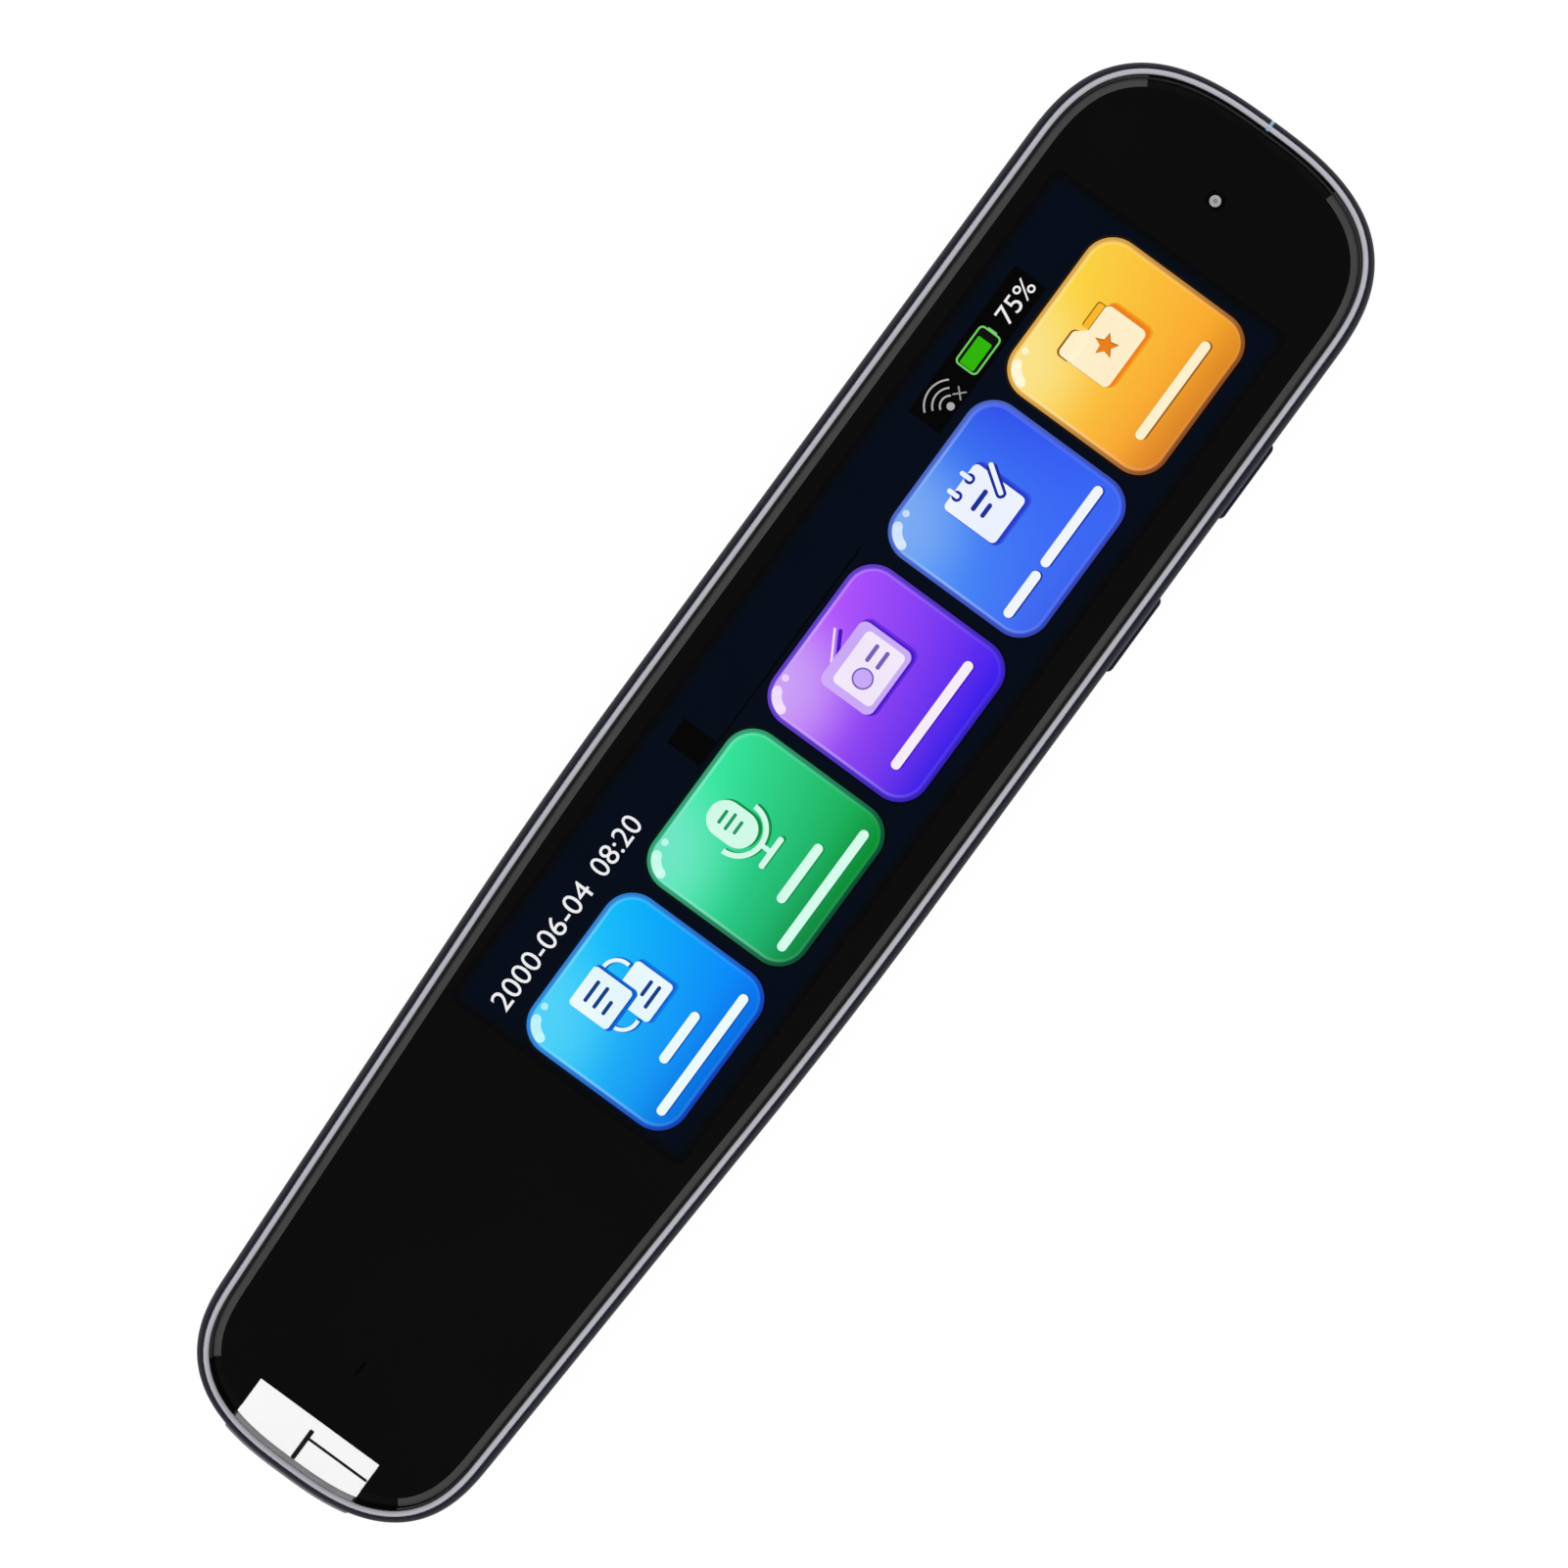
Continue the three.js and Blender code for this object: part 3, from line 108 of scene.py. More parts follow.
def take(piece):
    """Leaves this piece alone selected, in object mode."""
    if bpy.context.object and bpy.context.object.mode != "OBJECT":
        bpy.ops.object.mode_set(mode="OBJECT")
    bpy.ops.object.select_all(action="DESELECT")
    if piece:
        piece.select_set(True)
        bpy.context.view_layer.objects.active = piece


def open_all(piece):
    """Goes into edit mode with every face selected."""
    take(piece)
    bpy.ops.object.mode_set(mode="EDIT")
    bpy.ops.mesh.select_mode(type="FACE")
    bpy.ops.mesh.select_all(action="SELECT")


def open_part(piece, kind, parts, wanted):
    """Goes into edit mode with those faces, edges or points selected that the test accepts."""
    open_all(piece)
    bpy.ops.mesh.select_mode(type=kind)
    bpy.ops.mesh.select_all(action="DESELECT")
    bpy.ops.object.mode_set(mode="OBJECT")
    for part in getattr(piece.data, parts):
        part.select = bool(wanted(part))
    bpy.ops.object.mode_set(mode="EDIT")


def open_faces(piece, wanted):
    open_part(piece, "FACE", "polygons", wanted)


def open_edges(piece, wanted):
    """Selects the edges whose two ends the test accepts."""
    open_part(piece, "EDGE", "edges",
              lambda edge: wanted(*(piece.data.vertices[end].co for end in edge.vertices)))


def face_out(piece):
    open_all(piece)
    bpy.ops.mesh.normals_make_consistent(inside=False)
    take(piece)


def use_place(piece, name):
    """Names a new primitive and puts its place, turn and size into its mesh."""
    piece.name = piece.data.name = name
    take(piece)
    bpy.ops.object.transform_apply(location=True, rotation=True, scale=True)
    return piece


def new_piece(name, add, stretch=(1, 1, 1), **values):
    """A primitive that is added with these values and then stretched."""
    take(None)
    add(**values)
    bpy.context.object.scale = stretch
    return use_place(bpy.context.object, name)


def at(x, y, z):
    """A place or a step that is given in millimetres."""
    return (x * mm, y * mm, z * mm)


def block(name, low, high):
    middle = [(a + b) / 2 for a, b in zip(low, high)]
    sizes = [b - a for a, b in zip(low, high)]
    return new_piece(name, bpy.ops.mesh.primitive_cube_add, sizes, size=1, location=middle)


def rod(name, radius, start, length, axis="Z", sides=32):
    """A round bar from its start point along one axis."""
    turn = {"X": (0, math.pi / 2, 0), "Y": (math.pi / 2, 0, 0), "Z": (0, 0, 0)}[axis]
    middle = list(start)
    middle["XYZ".index(axis)] += length / 2
    return new_piece(name, bpy.ops.mesh.primitive_cylinder_add, vertices=sides, radius=radius, depth=length,
                     location=middle, rotation=turn)


def round_slot(name, width, height, start_y, end_y, z):
    """A bar along Y with round sides, for the port."""
    slot = rod(name, height / 2, (0, start_y, z), end_y - start_y, "Y", 48)
    for sign in (-1, 1):
        open_edges(slot, lambda a, b: min(a.x * sign, b.x * sign) > 0.01 * mm)
        bpy.ops.transform.translate(value=(sign * (width - height) / 2, 0, 0))
    take(slot)
    return slot


def copy_piece(piece, name, move=(0, 0, 0)):
    take(piece)
    bpy.ops.object.duplicate()
    copy = bpy.context.object
    copy.location = move
    return use_place(copy, name)


def join_pieces(first, *others):
    take(first)
    for piece in others:
        piece.select_set(True)
    bpy.ops.object.join()
    return first


def use_modifier(piece, kind, **values):
    """Puts a modifier with these values on a piece and applies it."""
    take(piece)
    bpy.ops.object.modifier_add(type=kind)
    change = piece.modifiers[-1]
    for name, value in values.items():
        setattr(change, name, value)
    bpy.ops.object.modifier_apply(modifier=change.name)


def combine(piece, way, tool):
    """Adds a tool to a piece, cuts it out or keeps what both share, and removes the tool."""
    use_modifier(piece, "BOOLEAN", operation=way, solver="EXACT", object=tool)
    bpy.data.objects.remove(tool)


def cut(piece, *tools):
    combine(piece, "DIFFERENCE", join_pieces(*tools) if len(tools) > 1 else tools[0])


def soften(piece, width, segments=2, angle=30):
    """Rounds the sharp edges of a piece a little."""
    use_modifier(piece, "BEVEL", width=width, segments=segments, limit_method="ANGLE",
                 angle_limit=math.radians(angle), harden_normals=False)


def smooth(piece, angle=25):
    take(piece)
    bpy.ops.object.shade_smooth_by_angle(angle=math.radians(angle))


def lengthen(reach):
    """Moves the selected faces outward along the pen, by this much at its ends."""
    bpy.ops.transform.resize(value=(1, 1 + reach / wide_end_y, 1), center_override=(0, 0, 0))


def raise_face(height):
    bpy.ops.mesh.extrude_region_move(TRANSFORM_OT_translate={"value": (0, 0, height)})


def step_in(width, rise):
    bpy.ops.mesh.inset(thickness=width, depth=rise)


def round_sheet(name, middle, radius, sides, turn=0.0):
    return new_piece(name, bpy.ops.mesh.primitive_circle_add, vertices=sides, radius=radius,
                     fill_type="NGON", location=middle, rotation=(0, 0, turn))


def outline_sheet(name, z, inset=0.0, reach=0.0):
    """A flat sheet with the outline of the case, moved inward by a distance and out again at its ends."""
    points = case_outline()
    sheet = round_sheet(name, (0, 0, z), half_width, len(points))
    for vertex, (x, y) in zip(sheet.data.vertices, points):
        vertex.co = (x, y, z)
    open_all(sheet)
    if inset:
        step_in(inset, 0)
        bpy.ops.mesh.select_all(action="INVERT")
        bpy.ops.mesh.delete(type="FACE")
        bpy.ops.mesh.select_all(action="SELECT")
    lengthen(reach)
    return sheet


def plate(name, z, thickness, inset, reach=0.0):
    """A flat plate with the outline of the case, moved inward by a distance and out again at its ends."""
    piece = outline_sheet(name, z, inset, reach)
    raise_face(thickness)
    face_out(piece)
    return piece


def cut_off(piece, place, out):
    """Cuts off what lies beyond a plane and closes the cut."""
    open_all(piece)
    bpy.ops.mesh.bisect(plane_co=place, plane_no=out, use_fill=True, clear_outer=True)
    take(piece)


def slant_cut(piece, shift):
    """Cuts off what lies beyond the slanted face of the tip, moved outward by a distance."""
    cut_off(piece, (0, tip_end_y + shift * slant_out[1], shoulder_z + shift * slant_out[2]), slant_out)


def trim(piece, half, back_y):
    """Keeps the middle of the tip end: what is within half a width and in front of a line."""
    for place, out in (((half, 0, 0), (1, 0, 0)), ((-half, 0, 0), (-1, 0, 0)), ((0, back_y, 0), (0, 1, 0))):
        cut_off(piece, place, out)


def tray_form(name, thickness, base_steps=14, lip_steps=9):
    """The outside of the tray, or with a thickness the room inside it."""
    form = outline_sheet(name, shoulder_z, thickness)
    raise_face(side_start_z - shoulder_z)
    face_out(form)
    open_faces(form, lambda face: face.normal.z < -0.9)
    inset, z = 0, side_start_z
    for i in range(1, base_steps + 1):
        turn = math.pi / 2 * i / base_steps
        new_inset = (base_curve_inset - thickness) * (1 - math.cos(turn))
        new_z = side_start_z - (side_start_z - thickness) * math.sin(turn)
        step_in(new_inset - inset, z - new_z)
        inset, z = new_inset, new_z
    open_faces(form, lambda face: face.normal.z > 0.9 and face.center.z > shoulder_z - 0.1 * mm)
    raise_face(cover_top_z - lip_height * math.sin(lip_turn) - shoulder_z)
    for i in range(lip_steps):
        turn, next_turn = lip_turn * i / lip_steps, lip_turn * (i + 1) / lip_steps
        step_in(lip_width * (math.cos(turn) - math.cos(next_turn)),
                lip_height * (math.sin(next_turn) - math.sin(turn)))
        lengthen(end_reach / lip_steps)
    if thickness:
        raise_face(3 * mm)
    slant_cut(form, -thickness)
    return form


case_shell = tray_form("case_shell", 0)
cut(case_shell, tray_form("room_inside", wall))

key_places = {"upper": 47.5 * mm, "lower": 30.5 * mm}
key_z = 5.4 * mm


def key_block(name, y, low_x, high_x, half_y, half_z):
    """A block about the middle of a key. All but the place of the key along the pen is in millimetres."""
    return block(name, (low_x * mm, y - half_y * mm, key_z - half_z * mm),
                 (high_x * mm, y + half_y * mm, key_z + half_z * mm))


port_z = 5.18 * mm
openings = [block("nose_opening", at(-7, -78, 1.6), at(7, -70.8, 7.1)),
            round_slot("port_opening", 9.5 * mm, 3.72 * mm, 70 * mm, 78 * mm, port_z)]
for y in key_places.values():
    key_slot = key_block("key_opening", y, 14, 20, 4.35, 1.4)
    open_edges(key_slot, lambda a, b: abs(a.x - b.x) > 1 * mm)
    bpy.ops.mesh.bevel(offset=0.5 * mm, segments=5)
    openings.append(key_slot)
sound_hole = rod("sound_hole", 0.45 * mm, at(0, 8.5, -1), 2.5 * mm)
openings += [copy_piece(sound_hole, "sound_hole_copy", at(x, 0, 0)) for x in (-4, -2, 2, 4)]
cut(case_shell, sound_hole, *openings)

def fitting(name, radius, height, inset, rise):
    """A round boss or post on the floor, with a hole or a pin in its top."""
    made = rod(name, radius * mm, at(0, 0, 1.1), height * mm)
    open_faces(made, lambda face: face.normal.z > 0.9)
    step_in(inset * mm, 0)
    raise_face(rise * mm)
    return made


screw_rows = ((-53 * mm, 4.9 * mm), (8.5 * mm, 4.55 * mm), (66 * mm, 7.55 * mm))
boss = fitting("screw_boss", 1.9, 6.3, 1.15, -4.2)
post = fitting("board_post", 1.5, 1.7, 1, 1.3)
fittings = [block("key_board_rail", at(12.6, 24.5, 1.1), at(13.4, 53.5, 2.7))]
for y, from_side in screw_rows:
    for sign in (-1, 1):
        fittings.append(copy_piece(boss, "boss", (sign * (side_half_width(y) - from_side), y, 0)))
for x, y in ((-10.5, 20), (8.4, 26), (-10.5, 56), (8.4, 56)):
    fittings.append(copy_piece(post, "post", at(x, y, 0)))
for pattern in (boss, post):
    bpy.data.objects.remove(pattern)
join_pieces(case_shell, *fittings)
smooth(case_shell, 24)


def add_node(tree, kind, settings=None, inputs=None):
    """A new shader node. Each input takes a value, or the output of another node, which is linked to it."""
    made = tree.nodes.new(kind)
    for name, value in (settings or {}).items():
        setattr(made, name, value)
    for name, value in (inputs or {}).items():
        if isinstance(value, bpy.types.NodeSocket):
            tree.links.new(value, made.inputs[name])
        else:
            made.inputs[name].default_value = value
    return made


def calculate(tree, operation, *inputs, clamp=False):
    settings = {"operation": operation, "use_clamp": clamp}
    return add_node(tree, "ShaderNodeMath", settings, dict(enumerate(inputs))).outputs[0]


def calculate_place(tree, operation, place, inputs):
    """The result of vector mathematics, which is a plain number for a distance."""
    made = add_node(tree, "ShaderNodeVectorMath", {"operation": operation}, {0: place, **inputs})
    return made.outputs["Value" if operation == "DISTANCE" else "Vector"]


def map_range(tree, value, low, high, new_low, new_high, way="LINEAR"):
    inputs = dict(enumerate((value, low, high, new_low, new_high)))
    return add_node(tree, "ShaderNodeMapRange", {"interpolation_type": way}, inputs).outputs[0]


def mix_values(tree, share, first, second):
    return add_node(tree, "ShaderNodeMix", inputs={0: share, 2: first, 3: second}).outputs[0]


def mix_colours(tree, share, first, second):
    return add_node(tree, "ShaderNodeMix", {"data_type": "RGBA"}, {0: share, 6: first, 7: second}).outputs[2]


def noise(tree, place, scale, detail):
    inputs = {"Vector": place, "Scale": scale, "Detail": detail}
    return add_node(tree, "ShaderNodeTexNoise", inputs=inputs).outputs[0]


def split_place(tree, place):
    return add_node(tree, "ShaderNodeSeparateXYZ", inputs={0: place}).outputs


def new_group(name, inputs, outputs):
    """An empty node group with its named sockets and its two end nodes."""
    group = bpy.data.node_groups.new(name, "ShaderNodeTree")
    kinds = {"colour": "NodeSocketColor", "value": "NodeSocketFloat", "place": "NodeSocketVector"}
    for title, kind in inputs:
        group.interface.new_socket(name=title, in_out="INPUT", socket_type=kinds[kind])
    for title, kind in outputs:
        group.interface.new_socket(name=title, in_out="OUTPUT", socket_type=kinds[kind])
    return group, group.nodes.new("NodeGroupInput"), group.nodes.new("NodeGroupOutput")


# The grain of moulded and rolled surfaces: slow clouds change the tone and the shine, fine specks the height
surface_grain, grain_in, grain_out = new_group(
    "surface_grain",
    [("Place", "place"), ("Per metre", "value"), ("Dark", "colour"), ("Light", "colour"),
     ("Shiny", "value"), ("Dull", "value")],
    [("Colour", "colour"), ("Roughness", "value"), ("Height", "value")])
given = grain_in.outputs
fine_place = calculate_place(surface_grain, "SCALE", given["Place"], {"Scale": given["Per metre"]})
cloud_place = calculate_place(surface_grain, "SCALE", fine_place, {"Scale": 0.04})
specks = noise(surface_grain, fine_place, 1, 2)
clouds = noise(surface_grain, cloud_place, 1, 3)
tone = map_range(surface_grain, clouds, 0.2, 0.8, 0, 1)
speckle = calculate(surface_grain, "MULTIPLY_ADD", specks, 0.5, -0.25)
mixed = calculate(surface_grain, "ADD", tone, speckle, clamp=True)
for title, result in (("Colour", mix_colours(surface_grain, mixed, given["Dark"], given["Light"])),
                      ("Roughness", mix_values(surface_grain, mixed, given["Shiny"], given["Dull"])),
                      ("Height", specks)):
    surface_grain.links.new(result, grain_out.inputs[title])


def new_finish(name, fixed):
    """A finish with plain values on its shader, and the place on the piece for its pattern."""
    finish = bpy.data.materials.new(name)
    finish.use_nodes = True
    tree = finish.node_tree
    shader = tree.nodes["Principled BSDF"]
    for socket, value in fixed.items():
        shader.inputs[socket].default_value = value
    return finish, tree, shader, add_node(tree, "ShaderNodeTexCoord").outputs["Object"]


def grain_finish(name, dark, light, shiny, dull, per_metre=7000, bump=0.02, metallic=0, specular=0.5,
                 fixed=None):
    """A finish with the surface grain in its colour, shine and height. The bump is in millimetres."""
    values = {"Metallic": metallic, "Specular IOR Level": specular, **(fixed or {})}
    finish, tree, shader, place = new_finish(name, values)
    grain = add_node(tree, "ShaderNodeGroup", {"node_tree": surface_grain},
                     {"Place": place, "Per metre": per_metre, "Dark": (*dark, 1), "Light": (*light, 1),
                      "Shiny": shiny, "Dull": dull}).outputs
    relief = add_node(tree, "ShaderNodeBump",
                      inputs={"Strength": 0.5, "Distance": bump * mm, "Height": grain["Height"]})
    tree.links.new(grain["Colour"], shader.inputs["Base Color"])
    tree.links.new(grain["Roughness"], shader.inputs["Roughness"])
    tree.links.new(relief.outputs["Normal"], shader.inputs["Normal"])
    return finish


def wear(piece, *finishes):
    """Gives a piece its finishes, the first of them all over."""
    piece.data.materials.clear()
    for finish in finishes:
        piece.data.materials.append(finish)


def paint_faces(piece, pick):
    """Gives each face the finish whose number is picked for its middle."""
    for face in piece.data.polygons:
        face.material_index = int(pick(*face.center))


navy_plastic = grain_finish("navy_plastic", (0.0135, 0.0138, 0.0245), (0.018, 0.018, 0.03), 0.45, 0.52,
                            specular=0.15)
wear(case_shell, navy_plastic)
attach(case_shell, "case")
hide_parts("rear_cover")

# Bezel frame: a thin rounded rim of satin aluminium that clips into the cover and holds the glass.
# Its top is stepped in from the foot over the crown to the ledge, its underside from the same foot
# to the flange, and both are merged. A low painted strip lies on its ledge along the sight window.
frame_rise = ((0, 0), (0.01, 0.14), (0.05, 0.28), (0.12, 0.43), (0.21, 0.57), (0.34, 0.71), (0.49, 0.83),
              (0.64, 0.915), (0.77, 0.97), (0.88, 1), (0.95, 0.99), (1, 0.965))
frame_width = 0.6 * mm
frame_crown = 1.7 * mm
silver_rim = outline_sheet("silver_rim", cover_top_z, shoulder_inset, end_reach)
for (across, up), (next_across, next_up) in zip(frame_rise, frame_rise[1:]):
    step_in((next_across - across) * frame_width, (next_up - up) * frame_crown)
raise_face(10.2 * mm - cover_top_z - frame_rise[-1][1] * frame_crown)
step_in(1.64 * mm, 0)
raise_face(-2.3 * mm)
bpy.ops.mesh.delete(type="ONLY_FACE")
rim_underside = outline_sheet("rim_underside", cover_top_z, shoulder_inset, end_reach)
step_in(1.54 * mm, 0)
raise_face(-1.5 * mm)
step_in(0.7 * mm, 0)
bpy.ops.mesh.delete(type="ONLY_FACE")
join_pieces(silver_rim, rim_underside)
open_all(silver_rim)
bpy.ops.mesh.remove_doubles(threshold=0.002 * mm)
face_out(silver_rim)
smooth(silver_rim, 40)
window_land = plate("window_land", 10.15 * mm, 0.85 * mm, 1.1 * mm, end_reach)
cut(window_land, plate("land_inside", 10 * mm, 1.2 * mm, 1.59 * mm))
combine(window_land, "INTERSECT", block("land_part", at(-6.45, -76, 10), at(6.45, -69.5, 11.2)))
satin_aluminium = grain_finish("satin_aluminium", (0.4, 0.4, 0.45), (0.48, 0.475, 0.53), 0.3, 0.4,
                               16000, 0.001, 1)
painted_silver = grain_finish("painted_silver", (0.2, 0.2, 0.21), (0.24, 0.24, 0.25), 0.45, 0.55,
                              16000, 0.001)
wear(silver_rim, satin_aluminium)
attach(silver_rim, "case")
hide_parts("bezel_frame")
wear(window_land, painted_silver)
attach(window_land, "case")

# Cover glass: one sheet with an edge that falls away all round, printed black from behind.
# The edge is stepped up as an arc that meets the flat at a crease. Along the sides its grey is a painted
# reflection, and at both ends it is black. It has a microphone hole and a tip notch, and rests on a lipped
# gasket.
glass_low_z = 10.5 * mm
glass_top_z = 11.5 * mm
edge_top_z = 11.46 * mm
mic_y = 66.1 * mm
arc_start, arc_end, arc_steps = math.radians(53.7), math.radians(20), 9
arc_radius = 0.8 * mm / (math.sin(arc_start) - math.sin(arc_end))
black_glass = outline_sheet("black_glass", glass_low_z, 1.5 * mm)
raise_face(0.4 * mm)
for i in range(arc_steps):
    lean = arc_start + (arc_end - arc_start) * i / arc_steps
    next_lean = arc_start + (arc_end - arc_start) * (i + 1) / arc_steps
    step_in(arc_radius * (math.sin(lean) - math.sin(next_lean)),
            arc_radius * (math.cos(next_lean) - math.cos(lean)))
face_out(black_glass)
cut(black_glass, rod("mic_hole", 0.95 * mm, (0, mic_y, 10 * mm), 2 * mm, sides=48),
    block("sight_notch", at(-6.58, -76, 10), at(6.58, -69.2, 12)))
smooth(black_glass, 12)
glass_finish = grain_finish("glass_finish", (0.0018, 0.0018, 0.0019), (0.0026, 0.0026, 0.0027), 0.03, 0.07,
                            1500, 0.0001)
matt_black = grain_finish("matt_black", (0.002, 0.002, 0.002), (0.005, 0.005, 0.005), 0.4, 0.6,
                          9000, 0.002, specular=0.06)
# The flat grey of the edge's arc along the sides is a painted reflection of the side lights.
ground_edge = grain_finish("ground_edge", (0.051, 0.051, 0.051), (0.06, 0.06, 0.061), 0.3, 0.4,
                           9000, 0.001, specular=0.2)
wear(black_glass, glass_finish, matt_black, ground_edge)
outline_points = case_outline()
outline_middles = [((a[0] + b[0]) / 2, (a[1] + b[1]) / 2)
                   for a, b in zip(outline_points, outline_points[1:] + outline_points[:1])]


def end_without_painted_reflection(x, y):
    """Whether a place is beside the stretch at one of the two ends of the outline where the painted
    reflection stops.
    """
    beside_x, beside_y = min(outline_middles, key=lambda middle: math.dist(middle, (x, y)))
    low_x, high_x = (-12.1 * mm, 8.45 * mm) if y > 0 else (-12.3 * mm, 11 * mm)
    return abs(beside_y) > 60 * mm and low_x < beside_x < high_x


def glass_edge(x, y, z):
    """The number of the finish on a part of the glass: 0 polished, 1 black, 2 grey painted reflection."""
    if z < edge_top_z:
        return 1 if end_without_painted_reflection(x, y) else 2
    return z < glass_top_z - 0.01 * mm and end_without_painted_reflection(x, y)


# The sides of the edge get the painted reflection, the two ends stay black.
paint_faces(black_glass, glass_edge)
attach(black_glass, "case")
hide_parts("cover_glass")

lipped_gasket = outline_sheet("lipped_gasket", 10.2 * mm, 1.28 * mm, end_reach)
raise_face(0.5 * mm)
step_in(0.19 * mm, 0)
raise_face(-0.2 * mm)
face_out(lipped_gasket)
cut(lipped_gasket, plate("gasket_room", 10 * mm, 1 * mm, 2.8 * mm))
lip_gap = block("lip_gap", at(-6.7, -76, 9.9), at(6.7, -69, 11.2))
cut(lip_gap, plate("gasket_inside", 9.8 * mm, 1.6 * mm, 1.6 * mm))
cut(lipped_gasket, lip_gap)
smooth(lipped_gasket, 30)
dark_rubber = grain_finish("dark_rubber", (0.052, 0.052, 0.052), (0.062, 0.062, 0.062), 0.7, 0.85,
                           bump=0.02, specular=0.2)
wear(lipped_gasket, dark_rubber, matt_black)
# The gasket is grey along the sides and black at both ends, in step with the painted reflection on the glass
# edge.
paint_faces(lipped_gasket, lambda x, y, z: end_without_painted_reflection(x, y))
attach(lipped_gasket, "case")
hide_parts("glass_gasket")

# Sight window: a milky white plate let into the notch of the glass, over the line that is being read.
# It is cut from the outline by three planes. The black aiming mark is printed on it, with a fine cross line.
sight_window = plate("sight_window", glass_low_z, 0.95 * mm, 1.6 * mm)
trim(sight_window, 6.5 * mm, -69.27 * mm)
soften(sight_window, 0.05 * mm, 2, 40)
smooth(sight_window, 30)
milky_plastic = grain_finish("milky_plastic", (0.93, 0.93, 0.93), (0.97, 0.97, 0.97), 0.3, 0.4, 3000, 0.002)
wear(sight_window, milky_plastic)
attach(sight_window, "case")
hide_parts("aim_window")

mark_line = block("aiming_mark", at(-0.3, -73.4, 11.44), at(0.12, -70.3, 11.5))
cross_line = block("cross_line", at(-0.05, -71.24, 11.44), at(6.5, -71.0, 11.48))
for line, width in ((mark_line, 0.12 * mm), (cross_line, 0.04 * mm)):
    open_edges(line, lambda a, b: abs(a.z - b.z) > 0.02 * mm)
    bpy.ops.mesh.bevel(offset=width, segments=3)
aiming_mark = join_pieces(mark_line, cross_line)
smooth(aiming_mark, 30)
black_ink = grain_finish("black_ink", (0.004, 0.004, 0.004), (0.009, 0.009, 0.009), 0.5, 0.65, 20000, 0.003)
wear(aiming_mark, black_ink)
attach(aiming_mark, "case")
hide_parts("aim_mark")

# Lit screen: the dark blue ground of the picture, which fades out toward its edges.
# It is a thin sheet flush on the glass that gives off its own colour and keeps the gloss of the glass.
layer_step = 0.015 * mm
screen_x, screen_y = -0.4 * mm, 14.15 * mm
screen_half_x, screen_half_y = 12.9 * mm, 46.1 * mm


def lit(red, green, blue):
    """A colour of the picture, from the 0 to 255 that a display takes."""
    return tuple(c / 255 / 12.92 if c <= 10 else ((c / 255 + 0.055) / 1.055) ** 2.4
                 for c in (red, green, blue))


def thicken(piece, layer):
    """Gives a flat shape the thickness of one layer and lifts it to its place on the glass."""
    use_modifier(piece, "SOLIDIFY", thickness=layer_step * 0.9, offset=-1)
    piece.location = (0, 0, glass_top_z + layer * layer_step)
    return use_place(piece, piece.name)


def in_picture(origin, right, up):
    """A place in the picture, which reads with its right toward +Y and its top toward -X."""
    return (origin[0] - up * mm, origin[1] + right * mm, 0)


def round_corners(shape, radius, segments):
    open_part(shape, "VERT", "vertices", lambda point: True)
    bpy.ops.mesh.bevel(offset=radius * mm, segments=segments, affect="VERTICES")


def sticker(name, origin, right, up, wide, high, radius, layer, turn=0.0):
    """A flat bar with rounded corners."""
    shape = new_piece(name, bpy.ops.mesh.primitive_plane_add, (wide * mm, high * mm, 1), size=1,
                      location=in_picture(origin, right, up), rotation=(0, 0, math.radians(90 + turn)))
    if radius:
        round_corners(shape, radius, 8)
    return thicken(shape, layer)


glowing = {"Base Color": (0, 0, 0, 1), "Roughness": 0.05, "Emission Strength": 1}
screen_glow, tree, shader, place = new_finish("screen_glow", glowing)
axes = split_place(tree, place)
fades = []
for axis, middle, half in ((0, screen_x, screen_half_x), (1, screen_y, screen_half_y)):
    away = calculate(tree, "ABSOLUTE", calculate(tree, "SUBTRACT", axes[axis], middle))
    fades.append(map_range(tree, away, half - 1.4 * mm, half, 1, 0, "SMOOTHSTEP"))
mottle = noise(tree, place, 180, 1)
ground = mix_colours(tree, mottle, (0.0002, 0.0022, 0.0072, 1), (0.0006, 0.0028, 0.0098, 1))
faded = mix_colours(tree, calculate(tree, "MULTIPLY", *fades), (0.0012, 0.0012, 0.0013, 1), ground)
tree.links.new(faded, shader.inputs["Emission Color"])

lit_screen = sticker("lit_screen", (screen_x, screen_y), 0, 0, 2 * screen_half_y / mm, 2 * screen_half_x / mm,
                     0.8, 1)
wear(lit_screen, screen_glow)
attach(lit_screen, "case")

# Picture tiles: five rounded squares of the picture, each with its own colour, a darker border,
# a fine light line inside it and a paler glow in one corner. Each is one sheet stepped in four times.
tile_x = 1.77 * mm
tile_half = 8.66
tile_corner = 3.15
tile_glow, glow_in, glow_out = new_group(
    "tile_glow",
    [("Place", "place"), ("Middle X", "value"), ("Middle Y", "value"), ("Half size", "value"),
     ("Near left", "colour"), ("Near right", "colour"), ("Far left", "colour"), ("Far right", "colour"),
     ("Glow", "colour"), ("Glow reach", "value"), ("Shade", "value"), ("Right shade", "value")],
    [("Colour", "colour")])
given = glow_in.outputs
axes = split_place(tile_glow, given["Place"])
across, along = (calculate(tile_glow, "DIVIDE", calculate(tile_glow, "SUBTRACT", axes[axis], given[title]),
                           given["Half size"]) for axis, title in ((0, "Middle X"), (1, "Middle Y")))
share_across, share_along = (map_range(tile_glow, part, -1, 1, 0, 1) for part in (across, along))
rows = [mix_colours(tile_glow, share_across, given[row + " left"], given[row + " right"])
        for row in ("Near", "Far")]
ground = mix_colours(tile_glow, share_along, *rows)
